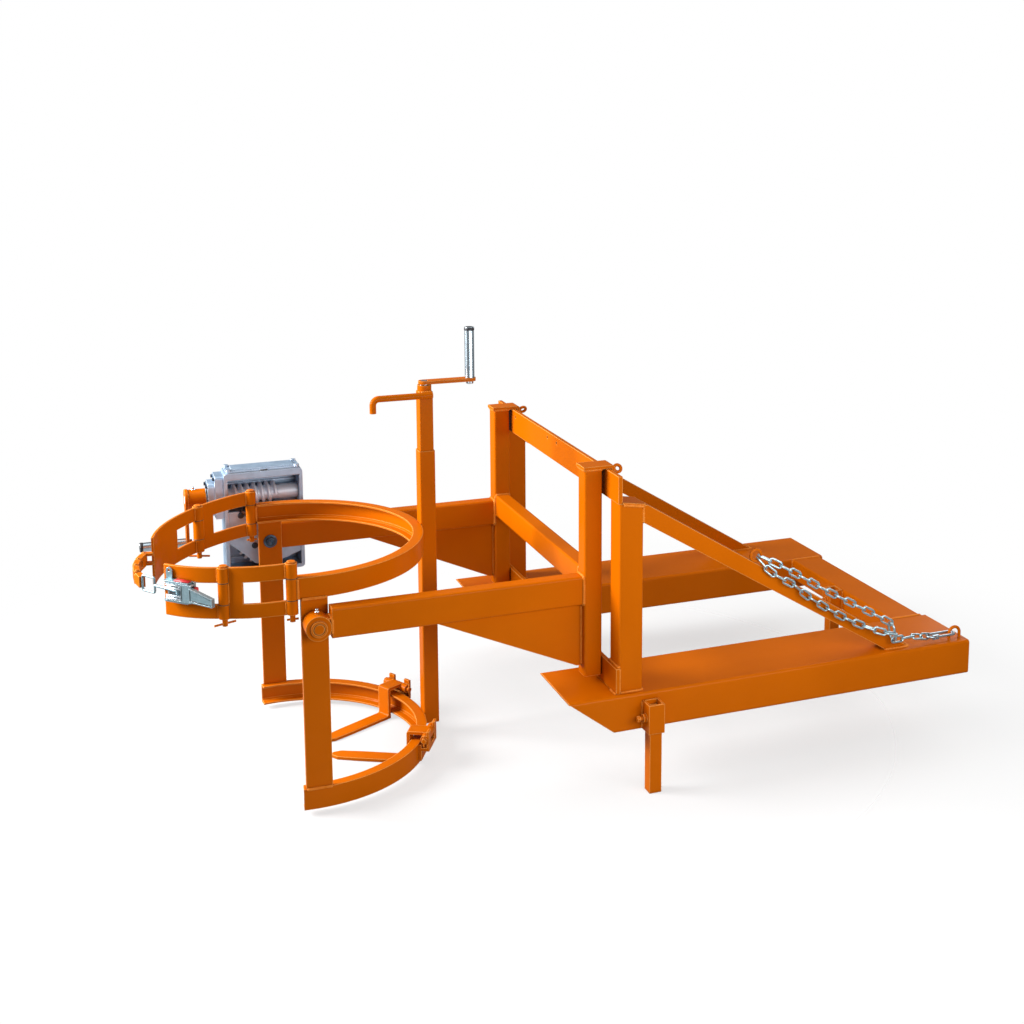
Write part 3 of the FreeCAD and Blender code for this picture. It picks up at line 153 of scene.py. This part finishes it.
def finish(surface, changing, fixed):
    """Link what changes over the surface, and set what is the same all over it."""
    for name, value in changing.items():
        value.tree.links.new(value.link, surface.inputs[name])
    for name, value in fixed.items():
        surface.inputs[name].default_value = value


def edge_mask(place, radius):
    """1 on an edge of the steel and 0 on its flats, from a rounded normal; it marks where
    highlights are painted.
    """
    rounded = place.node("ShaderNodeBevel", {"samples": 6}, {"Radius": radius})
    flat = place.node("ShaderNodeNewGeometry", {}, {}, "True Normal")
    same = place.node("ShaderNodeVectorMath", {"operation": "DOT_PRODUCT"},
                      {0: rounded, 1: flat}, "Value")
    return (1 - same).between(0.006, 0.1), rounded


def corner_shade(place, reach):
    """1 in the corners where two pieces meet, where shade falls, and 0 out in the open: the mask
    for painted shade.
    """
    open_sky = place.node("ShaderNodeAmbientOcclusion", {"samples": 6}, {"Distance": reach}, "AO")
    return (1 - open_sky).between(0.25, 0.85)


def relief(height, strength, depth, under):
    """A normal with fine relief on it, laid over the rounded normal under it."""
    return height.node("ShaderNodeBump", {}, {"Height": height, "Strength": strength,
                                              "Distance": depth, "Normal": under})


print("materials can be started")

# %% [markdown]
# The frame is sprayed with one coat of orange. Sprayed paint is never flat: it has the
# fine dimples called orange peel, and its tone drifts slowly along a plate. Its colour also
# has a painted highlight on sharp edges and painted shade in the corners. A picture of paint
# could be wrapped round the steel, but noise has no seams and works on every piece.


# %% Orange paint
def orange_paint(name, low, high, highlight_share):
    made, surface, place = start(name)
    edge, rounded = edge_mask(place, 0.0030)
    drift = place.noise(7.0, 3.0)
    grain = place.noise(260.0, 3.0, 0.6)
    body = (drift * 0.7 + grain * 0.3).blend(low, high)
    # Painted highlight: the edges are lightened towards pale orange, more where the noise is high.
    lit = (edge * (highlight_share + 0.5 * place.noise(60.0, 3.0))).blend(body, (1.0, 0.50, 0.14, 1))
    # Painted shade: the corners where pieces meet are darkened towards deep brown.
    colour = (corner_shade(place, 0.014) * 0.8).blend(lit, (0.12, 0.018, 0.0, 1))
    peel = place.noise(420.0, 1.5)
    wave = place.noise(24.0, 2.0)
    finish(surface, {
        "Base Color": colour,
        "Roughness": 0.27 + 0.16 * place.noise(90.0, 4.0, 0.6),
        "Normal": relief(peel * 0.35 + wave * 0.65, 0.22, 0.0012, rounded),
    }, {"Specular IOR Level": 0.02, "Coat Weight": 0.08, "Coat Roughness": 0.16})
    return made


paint = orange_paint("orange_paint", (0.465, 0.096, 0.0002, 1), (0.59, 0.128, 0.0006, 1), 0.40)
# The welds take a lighter copy of the same orange paint: a painted highlight on the beads.
weld_highlight_paint = orange_paint("weld_highlight_paint", (0.50, 0.10, 0.0005, 1), (0.80, 0.22, 0.015, 1), -0.05)
print("made", paint.name, weld_highlight_paint.name)

# %% [markdown]
# The chain, the snap hook, the latch and the grips are zinc plated. Plating is bright
# metal with a faint blue cast, broken into small clouds where it dried unevenly. The
# latch is duller than the rest, so one function makes all three from their own colours.


# %% Zinc plate
def zinc_plate(name, low, high, rough, metal=1.0):
    made, surface, place = start(name)
    edge, rounded = edge_mask(place, 0.0006)
    cloud = place.noise(140.0, 4.0, 0.6)
    # Painted highlight: the edges are lightened towards near white.
    highlit = edge.blend(cloud.blend(low, high), (0.86, 0.94, 1.0, 1))
    # Painted shade: the corners where pieces meet are darkened towards near black.
    colour = (corner_shade(place, 0.005) * 0.85).blend(highlit, (0.02, 0.03, 0.05, 1))
    finish(surface, {
        "Base Color": colour,
        "Roughness": rough + 0.18 * place.noise(330.0, 3.0),
        "Normal": relief(place.noise(700.0, 2.0), 0.15, 0.0006, rounded),
    }, {"Metallic": metal})
    return made


zinc = zinc_plate("zinc_plate", (0.34, 0.43, 0.50, 1), (0.62, 0.72, 0.78, 1), 0.22)
chain_zinc = zinc_plate("chain_zinc", (0.36, 0.52, 0.58, 1), (0.70, 0.88, 0.95, 1), 0.25)
latch_zinc = zinc_plate("latch_zinc", (0.17, 0.29, 0.34, 1), (0.44, 0.60, 0.66, 1), 0.36, 0.7)
print("made", zinc.name, chain_zinc.name, latch_zinc.name)

# %% [markdown]
# The gearbox is a bare light-alloy casting. Casting leaves a dull blue-grey skin with a
# fine pebble grain. Its colour also has a painted highlight on the edges and painted shade
# in the corners.


# %% Cast alloy
def cast_alloy():
    made, surface, place = start("cast_alloy")
    edge, rounded = edge_mask(place, 0.0022)
    cloud = place.noise(35.0, 4.0, 0.6)
    skin = cloud.blend((0.28, 0.39, 0.53, 1), (0.52, 0.67, 0.84, 1))
    pits = place.noise(900.0, 2.0)
    # Painted highlight: the edges are lightened towards near white.
    highlit = (edge * 0.75).blend(skin, (0.90, 0.93, 1.0, 1))
    finish(surface, {
        # Painted shade: the corners where pieces meet are darkened towards near black.
        "Base Color": (corner_shade(place, 0.012) * 0.7).blend(highlit, (0.03, 0.04, 0.07, 1)),
        "Roughness": 0.34 + 0.2 * cloud,
        "Normal": relief(pits * 0.6 + cloud * 0.4, 0.35, 0.0012, rounded),
    }, {"Metallic": 0.7})
    return made


alloy = cast_alloy()
print("made", alloy.name)

# %% [markdown]
# The worm and its wheel are machined steel. A cutting tool leaves fine marks round the
# axis it turned about, so the noise is drawn out round one axis and squeezed along it.


# %% Turned steel
def turned_steel(name, low, high, axis_scale, rough, metal):
    """Machined steel with fine turning marks round one axis."""
    made, surface, place = start(name)
    edge, rounded = edge_mask(place, 0.0008)
    marks = place.stretched(axis_scale).noise(1.0, 3.0, 0.7)
    finish(surface, {
        # Painted highlight: the edges are lightened towards near white.
        "Base Color": edge.blend(marks.blend(low, high), (0.95, 0.96, 0.98, 1)),
        "Roughness": rough + 0.2 * marks,
        "Normal": relief(marks, 0.12, 0.0004, rounded),
    }, {"Metallic": metal})
    return made


worm_steel = turned_steel("worm_steel", (0.62, 0.68, 0.80, 1), (0.88, 0.93, 1.0, 1),
                          (1800, 12, 12), 0.38, 0.35)
wheel_steel = turned_steel("wheel_steel", (0.30, 0.33, 0.40, 1), (0.55, 0.60, 0.68, 1),
                           (40, 900, 40), 0.3, 0.8)
print("made", worm_steel.name, wheel_steel.name)

# %% [markdown]
# Four small finishes are left: blackened bolts, the black plastic plugs in the grips,
# the near black of the painted shade in the hinge gaps and the red plastic tab under the
# latch. They differ only in colour and gloss, so one function makes them all.


# %% Black steel and plastics
def moulded(name, low, high, rough, metal, highlight_share=0.6):
    made, surface, place = start(name)
    edge, rounded = edge_mask(place, 0.0006)
    cloud = place.noise(220.0, 3.0)
    # Painted highlight: a much lighter copy of the high colour, laid on the edges.
    highlight = tuple(min(1.0, part * 2.2 + 0.004) for part in high[:3]) + (1,)
    finish(surface, {
        "Base Color": (edge * highlight_share).blend(cloud.blend(low, high), highlight),
        "Roughness": rough + 0.15 * cloud,
        "Normal": relief(place.noise(1200.0, 2.0), 0.2, 0.0005, rounded),
    }, {"Metallic": metal})
    return made


black_steel = moulded("black_steel", (0.020, 0.030, 0.045, 1), (0.06, 0.09, 0.13, 1), 0.28, 0.7)
black_plastic = moulded("black_plastic", (0.012, 0.012, 0.014, 1), (0.03, 0.03, 0.034, 1),
                        0.4, 0.0)
# Near black for the painted shade in the hinge gaps and for the dark lines on the latch lever.
shade_and_line_black = moulded("shade_and_line_black", (0.004, 0.003, 0.002, 1), (0.012, 0.008, 0.004, 1),
                       0.5, 0.0, highlight_share=0.0)
red_plastic = moulded("red_plastic", (0.26, 0.01, 0.012, 1), (0.42, 0.02, 0.02, 1), 0.4, 0.0)
print("made", black_steel.name, black_plastic.name, shade_and_line_black.name, red_plastic.name)

# %% [markdown]
# Each piece of the frame takes one of these finishes. Most are painted, so only the
# exceptions are listed.

# %% Give every CAD piece its finish
FINISHES = {
    zinc: ["snap_hook", "snap_gate", "tilt_grip", "lift_grip", "lift_spindle"],
    latch_zinc: ["latch_base", "latch_lever", "latch_hook"],
    chain_zinc: ["safety_chain"],
    alloy: ["gearbox_housing", "gearbox_cover", "worm_bearing_cap", "shaft_bearing_plate"],
    worm_steel: ["worm_shaft"],
    wheel_steel: ["worm_wheel"],
    black_steel: ["strap_bolts", "gearbox_bolts"],
}
finish_of = {node: skin for skin, names in FINISHES.items() for node in names}
for name, piece in nodes.items():
    piece.data.materials.clear()
    piece.data.materials.append(finish_of.get(name, paint))
print("painted", len(nodes) - len(finish_of), "other finishes", len(finish_of))

# %% [markdown]
# Details that no plain solid gives: the welder's beads. A bead is a row of small overlapping
# ripples. It could be a bump in the paint, but then it would vanish from the outline, so it
# is a thin tube along the seam whose thickness swells once per ripple.


# %% A piece of its own mesh
def new_piece(name, body, skin, shape, flat=False):
    """Turn a bmesh into a piece with one finish that rides on a body."""
    mesh = bpy.data.meshes.new(name)
    bmesh.ops.recalc_face_normals(shape, faces=shape.faces)
    shape.to_mesh(mesh)
    shape.free()
    for face in mesh.polygons:
        face.use_smooth = not flat
    mesh.materials.append(skin)
    piece = bpy.data.objects.new(name, mesh)
    bpy.context.scene.collection.objects.link(piece)
    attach(piece, body)
    return piece


def spaced(points, step, closed):
    """Points at one distance along a line of corners."""
    line = [Vector(point) for point in points]
    if closed:
        line.append(line[0].copy())
    runs = [(b - a).length for a, b in zip(line, line[1:])]
    count = max(2, round(sum(runs) / step))
    spots, run, used = [], 0, 0.0
    for i in range(count + (0 if closed else 1)):
        reach = min(sum(runs) * i / count, sum(runs) - 1e-9)
        while reach - used > runs[run]:
            used += runs[run]
            run += 1
        spots.append(line[run].lerp(line[run + 1], (reach - used) / runs[run]))
    return spots


dice = random.Random(7)
SIDES = 8
STEPS_PER_RIPPLE = 3
UNSTEADY_HAND = 0.3
END_TAPER = 0.45


def add_bead(shape, points, radius=3.2, closed=False, ripple=0.2, pitch=4.6):
    """Add a rippled tube along points, all in millimetres, to a bmesh."""
    spots = spaced(points, pitch / STEPS_PER_RIPPLE, closed)
    rings = []
    for i, spot in enumerate(spots):
        before = spots[i - 1] if closed or i else spots[0]
        after = spots[(i + 1) % len(spots)] if closed or i + 1 < len(spots) else spots[-1]
        ahead = (after - before).normalized()
        side = ahead.orthogonal() if abs(ahead.z) > 0.9 else ahead.cross(Vector((0, 0, 1)))
        side.normalize()
        up = side.cross(ahead)
        swell = (1 - ripple + ripple * abs(math.sin(math.pi * i / STEPS_PER_RIPPLE))
                 + dice.uniform(-UNSTEADY_HAND, UNSTEADY_HAND) * ripple)
        if not closed and i in (0, len(spots) - 1):
            swell *= END_TAPER
        rings.append([shape.verts.new((spot + (side * math.cos(2 * math.pi * k / SIDES)
                                               + up * math.sin(2 * math.pi * k / SIDES))
                                       * radius * swell) * MM) for k in range(SIDES)])
    pairs = list(zip(rings, rings[1:] + rings[:1])) if closed else list(zip(rings, rings[1:]))
    for ring, following in pairs:
        for k in range(SIDES):
            shape.faces.new((ring[k], ring[(k + 1) % SIDES],
                             following[(k + 1) % SIDES], following[k]))
    if not closed:
        shape.faces.new(rings[0])
        shape.faces.new(rings[-1])


print("beads can be laid")

# %% [markdown]
# A bead runs wherever two pieces of steel were joined: round the foot of a post, along a
# gusset, up the knuckles of a hinge. The seams could be found from the meshes, but a welder
# picks them one by one, so each is a short list of corners in millimetres on its own body.


# %% Where the beads run
def seam_loop(axis, place, low, high, round_r=5):
    """Corners of a rectangle with rounded corners, in a plane across an axis."""
    (u0, v0), (u1, v1) = low, high
    flat = []
    for cu, cv, first in ((u1 - round_r, v1 - round_r, 0), (u0 + round_r, v1 - round_r, 90),
                          (u0 + round_r, v0 + round_r, 180), (u1 - round_r, v0 + round_r, 270)):
        for turn in (0, 30, 60, 90):
            angle = math.radians(first + turn)
            flat.append((cu + round_r * math.cos(angle), cv + round_r * math.sin(angle)))
    order = {"x": lambda u, v: (place, u, v), "y": lambda u, v: (u, place, v),
             "z": lambda u, v: (u, v, place)}[axis]
    return [order(u, v) for u, v in flat]


def turned_spot(spot, centre, degrees):
    """A point turned about an upright line."""
    angle = math.radians(degrees)
    x, y = spot[0] - centre[0], spot[1] - centre[1]
    return (centre[0] + x * math.cos(angle) - y * math.sin(angle),
            centre[1] + x * math.sin(angle) + y * math.cos(angle), spot[2])


def pair(side, a, b):
    """Two places across the lifter, lowest first; side is 1 for far and -1 for near."""
    return sorted((side * a, side * b))


loops = {"frame": [], "hook_frame": [], "cradle": []}
lines = {body: [] for body in ("frame", "hook_frame", "cradle", "rim_clamp", "rear_gate_near",
                               "rear_gate_far", "front_gate_near", "front_gate_far")}
for side in (1, -1):
    post, brace = pair(side, 396, 456), pair(side, 412, 452)
    arm, hook = pair(side, 330, 370), pair(side, 329, 374)
    loops["frame"] += [
        seam_loop("z", 223, (680, post[0]), (740, post[1]), 6),
        seam_loop("z", 223, (1414, brace[0]), (1480, brace[1]), 2),
        seam_loop("x", 740, (brace[0], 631), (brace[1], 668), 2),
        seam_loop("y", side * 269, (1547, 163), (1640, 222), 5)]
    lines["frame"] += [
        [(680, side * 457, 225), (680, side * 457, 284)],
        [(680, side * 457, 285.5), (680, side * 395, 285.5)],
        [(669.5, side * 462, 223.5), (669.5, side * 428, 223.5)],
        [(669.5, side * 330, 223.5), (669.5, side * 290, 223.5)],
        [(688, side * 457, 678), (740, side * 457, 670)],
        [(741, side * 454, 670.5), (741, side * 398, 670.5)],
        [(732, side * 474, 138), (732, side * 474, 204)],
        [(772, side * 474, 138), (772, side * 474, 204)],
        [(1547, side * 20, 165), (1547, side * 20, 219)]]
    loops["hook_frame"] += [
        seam_loop("x", 624.7, (arm[0], 417), (arm[1], 487), 6),
        seam_loop("y", side * 329, (627, 442), (667, 502), 5),
        seam_loop("z", 744.8, (625.5, hook[0]), (669, hook[1]), 6)]
    for across in (346, 354):
        lines["hook_frame"] += [[(290, side * across, 416.8), (612, side * across, 416.8)],
                                [(624.5, side * across, 266), (624.5, side * across, 414)]]
    lines["cradle"] += [
        [(-29, side * 323.4, 500), (29, side * 323.4, 500)],
        [(-29, side * 323.4, 50), (29, side * 323.4, 50)],
        [(-29, side * 312.6, 500), (29, side * 312.6, 500)],
        [(-35.6, side * 322.3, 502), (-35.6, side * 322.3, 548)],
        [(-35.2, side * 309.8, 502), (-35.2, side * 309.8, 548)],
        [(322.4, side * 21, 502), (322.4, side * 21, 548)],
        [(322.4, side * 21, 24), (322.4, side * 21, 49)]]
loops["hook_frame"].append(seam_loop("x", 30.3, (-368, 428), (-334, 464), 4))
lines["rim_clamp"] += [[(329, -20.5, 884), (356, -20.5, 884)]]

# The gates' knuckles are welded to their plates along upright seams.
GATE_R = 321.0
RING_PIN = (-47, 314)
MID_ANGLE = math.radians(54)
GATE_DIP = math.radians(4.5)
NEAR_TOE_OUT = 9.6
MID_HINGE = (-(GATE_R - 3) * math.cos(MID_ANGLE), (GATE_R - 3) * math.sin(MID_ANGLE))
NEAR_HINGE = (MID_HINGE[0], -MID_HINGE[1])
MID_DROP = math.tan(GATE_DIP) * (RING_PIN[0] - MID_HINGE[0])
GATE_SEAMS = (("rear_gate", 79.1, ((469, 497), (553, 583)), 1.0),
              ("rear_gate", 56.3, ((503, 547),), MID_DROP - 1),
              ("front_gate", 51.7, ((470, 497), (553, 583)), MID_DROP + 1))
for gate, angle, spans, drop in GATE_SEAMS:
    for side, place in ((1, "far"), (-1, "near")):
        for radius in (GATE_R + 0.2, GATE_R - 6.4):
            for low, high in spans:
                x = -radius * math.cos(math.radians(angle))
                y = side * radius * math.sin(math.radians(angle))
                ends = [(x, y, low - drop), (x, y, high - drop)]
                if (gate, place) == ("front_gate", "near"):
                    ends = [turned_spot(end, NEAR_HINGE, NEAR_TOE_OUT) for end in ends]
                lines[f"{gate}_{place}"].append(ends)
print("seams", sum(map(len, loops.values())) + sum(map(len, lines.values())))

# %% Lay the beads
LOOP_BEAD, LINE_BEAD, GATE_BEAD = 4.3, 4.2, 2.4
for body in lines:
    shape = bmesh.new()
    for seam in loops.get(body, []):
        add_bead(shape, seam, LOOP_BEAD, closed=True)
    for seam in lines[body]:
        add_bead(shape, seam, GATE_BEAD if "gate" in body else LINE_BEAD)
    new_piece("welds_" + body, body, weld_highlight_paint, shape)

# %% [markdown]
# Turned parts are drawn as half a section and spun round an axis, as on a lathe: the black
# plugs in the grips, the grease nipples, the bolt heads. The shade in the gap between two
# hinge knuckles is painted as a thin dark ring.


# %% A small lathe
def add_turned(shape, profile, foot, axis, sides=24):
    """Spin a profile of (radius, height) pairs round an axis that starts at foot, in mm."""
    along = Vector(axis).normalized()
    across = along.orthogonal().normalized()
    other = along.cross(across)
    rings = []
    for radius, height in profile:
        centre = Vector(foot) + along * height
        rings.append([shape.verts.new((centre + (across * math.cos(2 * math.pi * k / sides)
                                                 + other * math.sin(2 * math.pi * k / sides))
                                       * max(radius, 0.02)) * MM) for k in range(sides)])
    for ring, following in zip(rings, rings[1:]):
        for k in range(sides):
            shape.faces.new((ring[k], ring[(k + 1) % sides],
                             following[(k + 1) % sides], following[k]))
    shape.faces.new(rings[0])
    shape.faces.new(rings[-1])


def turned_piece(name, body, skin, parts, sides=24, flat=False):
    shape = bmesh.new()
    for profile, foot, axis in parts:
        add_turned(shape, profile, foot, axis, sides)
    return new_piece(name, body, skin, shape, flat)


PLUG = ((12.4, 0), (12.7, 0.6), (12.7, 6.2), (12.2, 7.4), (10.6, 8.3), (6, 8.9), (0, 9.1))
NIPPLE = ((5.2, 0), (5.2, 2.6), (3.4, 3.4), (2.9, 5.0), (3.5, 6.0), (3.5, 7.4),
          (1.8, 8.6), (0, 8.8))
BUTTON = ((17.4, -6.9), (17.6, -6.5), (17.6, -4.4), (16.9, -4.1), (13.2, -4.1), (13.2, 0.2),
          (12.2, 2.0), (10.2, 3.2), (7.6, 3.8), (6.6, 3.8), (6.0, 3.2), (5.5, 0.9), (0, 0.8))
NUT = ((8.4, 0), (9.2, 0.8), (9.2, 6.2), (8.4, 7))
turned_piece("lift_grip_plug", "lift_grip", black_plastic,
             [(PLUG, (459.5, 0, 1029.6), (0, 0, 1))])
turned_piece("tilt_grip_plug", "tilt_grip", black_plastic,
             [(PLUG, (-314.6, 410, 435.5), (-1, 0, 0))])
turned_piece("lift_grip_nut", "spindle", zinc,
             [(NUT, (459.5, 0, 894.6), (0, 0, 1))], sides=6, flat=True)
turned_piece("boss_nipple", "hook_frame", zinc, [(NIPPLE, (0, -352, 477), (0, 0, 1))])
turned_piece("crank_nipple", "worm", zinc, [(NIPPLE, (-182, 410, 577.5), (0, 0, 1))])
turned_piece("strap_bolt_heads", "cradle", black_steel,
             [(BUTTON, (0, side * 306.3, 445), (0, -side, 0)) for side in (1, -1)])
print("turned details made")

# %% Thin dark rings of painted shade between the knuckles
def gap_shade(name, body, centre, heights):
    ring = ((12.2, -1.0), (13.35, -0.8), (13.35, 0.8), (12.2, 1.0))
    turned_piece(name, body, shade_and_line_black,
                 [(ring, (*centre, height), (0, 0, 1)) for height in heights], sides=32)


for side, place in ((1, "far"), (-1, "near")):
    gap_shade("ring_hinge_gap_shade_" + place, "cradle",
           (RING_PIN[0], side * RING_PIN[1]), (499.85, 550.15))
    gap_shade("mid_hinge_gap_shade_" + place, "rear_gate_" + place,
           (MID_HINGE[0], side * MID_HINGE[1]), (500.15 - MID_DROP, 549.85 - MID_DROP))
print("grease rings made")

# %% [markdown]
# The leg screws on the real frame are short painted hexagon screws, so they stand for the
# plain T screws of the solid model. Each turns with its own body.

# %% Short leg screws
HEX = ((6.2, 0), (7.6, 0.8), (7.6, 6.0), (6.4, 7.0), (3.0, 7.6), (0, 7.8))
SHANK = ((5.0, 0), (5.0, 20.5))
for place, y, height in (("far", 494, 170), ("near", -494, 170), ("rear", 0, 190)):
    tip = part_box("leg_screw_" + place)[1].x / MM
    shape = bmesh.new()
    add_turned(shape, SHANK, (tip, y, height), (-1, 0, 0))
    add_turned(shape, HEX, (tip - 20, y, height), (-1, 0, 0), 6)
    screw = new_piece("leg_screw_head_" + place, "screw_" + place, paint,
                      shape, flat=True)
    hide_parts("leg_screw_" + place)
print("leg screws made")

# %% [markdown]
# The latch has a red plastic tab and stop behind its lever, a black pad under it that paints
# the shade in its channel, and ribs and dark lines on the lever itself. The slabs are blocks
# with rounded edges, set in the latch's own frame: along the gate, outwards and up. Two
# black trims of the gearbox, the plug in its lid and the gasket round it, are made with the
# same two helpers.

# %% Latch slabs and the gearbox gasket
LATCH_ANGLE = math.radians(36)
ahead = Vector((-math.sin(LATCH_ANGLE), math.cos(LATCH_ANGLE), 0))
outward = Vector((-math.cos(LATCH_ANGLE), -math.sin(LATCH_ANGLE), 0))
LATCH_FOOT = Vector((-GATE_R * math.cos(LATCH_ANGLE), -GATE_R * math.sin(LATCH_ANGLE), 514))


def slab(name, body, skin, low, high, round_mm, place=None):
    """A block with rounded edges between two corners, in mm, moved to its place."""
    shape = bmesh.new()
    bmesh.ops.create_cube(shape, size=1)
    middle = (Vector(low) + Vector(high)) / 2
    size = Vector(high) - Vector(low)
    for vert in shape.verts:
        vert.co = Vector([m + v * s for m, v, s in zip(middle, vert.co, size)])
    bmesh.ops.bevel(shape, geom=shape.edges, offset=round_mm, segments=3, affect="EDGES")
    for vert in shape.verts:
        vert.co = (place(vert.co) if place else vert.co) * MM
    return new_piece(name, body, skin, shape)


def on_latch(spot):
    straight = LATCH_FOOT + ahead * spot.x + outward * spot.y + Vector((0, 0, spot.z))
    return Vector(turned_spot(straight, NEAR_HINGE, NEAR_TOE_OUT))


slab("latch_red_tab", "front_gate_near", red_plastic,
     (-29, 3.5, 24.05), (10, 17, 26.6), 1.0, on_latch)
slab("latch_red_stop", "front_gate_near", red_plastic,
     (-47, 1.5, -9), (-37, 13, 14), 1.5, on_latch)
# The black pad of painted shade stays narrower than the gap between the lever's cheeks, which
# swing past it.
slab("latch_shade_pad", "front_gate_near", black_plastic,
     (-34, 3.05, -17.5), (34, 3.9, 17.5), 0.4, on_latch)
for number, (low, high) in enumerate(((-17.8, -13.0), (-11.4, -6.8), (6.8, 11.4), (13.0, 17.8))):
    slab(f"latch_lever_rib_{number}", "latch_lever", latch_zinc, (-11.5, 19.2, low),
         (29, 21.6, high), 0.6, on_latch)
shape = bmesh.new()
for first, last in (((-41, 21.5, 11), (-93, 21.5, -5.5)), ((-41, 21.5, -13.2), (-93, 21.5, -17.4)),
                    ((-14, 21.5, -17), (-14, 21.5, 17)), ((-37, 21.5, -14), (-37, 21.5, 14))):
    add_bead(shape, [on_latch(Vector(first)), on_latch(Vector(last))], 0.8, ripple=0.0)
new_piece("latch_lever_lines", "latch_lever", shade_and_line_black, shape)
slab("lid_slot_plug", "hook_frame", black_plastic,
     (-12, 372.4, 621.4), (8, 375, 625.4), 0.5)
shape = bmesh.new()
add_bead(shape, seam_loop("z", 622, (-100.6, 373.4), (92.6, 442.6), 9), 0.9,
         closed=True, ripple=0.0)
new_piece("lid_gasket", "hook_frame", black_plastic, shape)
print("latch slabs, slot and gasket made")

# %% [markdown]
# The lifter stands in a white studio, on its legs, which reach a little below the rings.
# The picture shows only faint shadows on pure white, so the floor is a pale sheet that
# covers a third of the white behind it near the lifter and fades out further away.

# %% Floor
FLOOR_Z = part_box("support_leg_near")[0].z
CENTRE = (cad_box[0] + cad_box[1]) / 2
FLOOR_CORNERS = [(-20, -30, 0), (40, -30, 0), (40, 30, 0), (-20, 30, 0)]
FLOOR_SHARE = 0.35
FADE_FROM, FADE_TO = 0.7, 1.9


def studio_floor():
    shape = bpy.data.meshes.new("studio_floor")
    shape.from_pydata(FLOOR_CORNERS, [], [(0, 1, 2, 3)])
    floor = bpy.data.objects.new("studio_floor", shape)
    floor.location.z = FLOOR_Z
    bpy.context.scene.collection.objects.link(floor)
    made, surface, place = start("pale_floor")
    tone = place.noise(1.5, 2.0).blend((0.70, 0.70, 0.70, 1), (0.73, 0.73, 0.73, 1))
    off = place.node("ShaderNodeVectorMath", {"operation": "DISTANCE"},
                     {0: place, 1: (CENTRE.x, CENTRE.y, 0)}, "Value")
    cover = FLOOR_SHARE * (1 - off.between(FADE_FROM, FADE_TO))
    finish(surface, {"Base Color": tone, "Alpha": cover},
           {"Roughness": 0.9, "Specular IOR Level": 0.1})
    shape.materials.append(made)


studio_floor()
print("floor at", round(FLOOR_Z, 4))

# %% [markdown]
# Product pictures are lit with large white sheets. Small lamps would leave hard points and
# black shadows, so four big flat lights stand round the lifter: a strong one to its left,
# a strip in front, and two weak ones above and behind. The walls glow a little too.


# %% Lights
def soft_light(name, direction, distance, size, power, tall=None):
    """Flat light that looks at the middle of the lifter."""
    lamp = bpy.data.lights.new(name, "AREA")
    lamp.shape = "RECTANGLE"
    lamp.size = size
    lamp.size_y = tall or size
    lamp.energy = power
    holder = bpy.data.objects.new(name, lamp)
    away = Vector(direction).normalized()
    holder.location = CENTRE + away * distance
    holder.rotation_euler = away.to_track_quat("Z", "Y").to_euler()
    bpy.context.scene.collection.objects.link(holder)


soft_light("key_left", (-1.0, 0.25, 0.42), 3.4, 1.6, 270)
soft_light("front_strip", (0.2, -1.0, 0.2), 1.7, 1.7, 19, 0.5)
soft_light("top_soft", (-0.2, 0.0, 1.0), 3.0, 2.0, 20)
soft_light("rear_soft", (1.0, 0.4, 0.55), 3.4, 2.0, 38)

WALL_GLOW = 0.22


def white_studio():
    """Walls that look white in the picture and shine less than that on the part."""
    studio = bpy.data.worlds.new("white_studio")
    bpy.context.scene.world = studio
    studio.use_nodes = True
    tree = studio.node_tree
    seen = Socket(tree, tree.nodes.new("ShaderNodeLightPath").outputs["Is Camera Ray"])
    sky = tree.nodes["Background"]
    sky.inputs["Color"].default_value = (1, 1, 1, 1)
    tree.links.new((WALL_GLOW + seen * (1 - WALL_GLOW)).link, sky.inputs["Strength"])


white_studio()

# %% [markdown]
# The camera stands where the photographer stood: in front of the near fork pocket and to
# its left, a little above the rails. The picture was cropped off centre, so the lens is
# shifted by the crop and the camera isn't turned.

# %% Camera
LENS_MM = 50.14
SENSOR_MM = 36.0
PICTURE = 1024
AXIS_PIXEL = (603.7, 331.4)
STAND = Vector((-0.5309, -3.3824, 1.5901))
YAW, PITCH, ROLL = 21.78, 9.11, 0.17


def photo_camera():
    lens = bpy.data.cameras.new("photo_camera")
    lens.lens = LENS_MM
    lens.sensor_width = SENSOR_MM
    lens.shift_x = (PICTURE / 2 - AXIS_PIXEL[0]) / PICTURE
    lens.shift_y = (AXIS_PIXEL[1] - PICTURE / 2) / PICTURE
    lens.dof.use_dof = False
    holder = bpy.data.objects.new("photo_camera", lens)
    holder.location = STAND
    turn = (Matrix.Rotation(math.radians(-YAW), 4, "Z")
            @ Matrix.Rotation(math.radians(90 - PITCH), 4, "X")
            @ Matrix.Rotation(math.radians(ROLL), 4, "Z"))
    holder.rotation_euler = turn.to_euler()
    bpy.context.scene.collection.objects.link(holder)
    bpy.context.scene.camera = holder


photo_camera()
bpy.context.scene.view_settings.view_transform = "Standard"
print("camera at", [round(part, 3) for part in STAND])
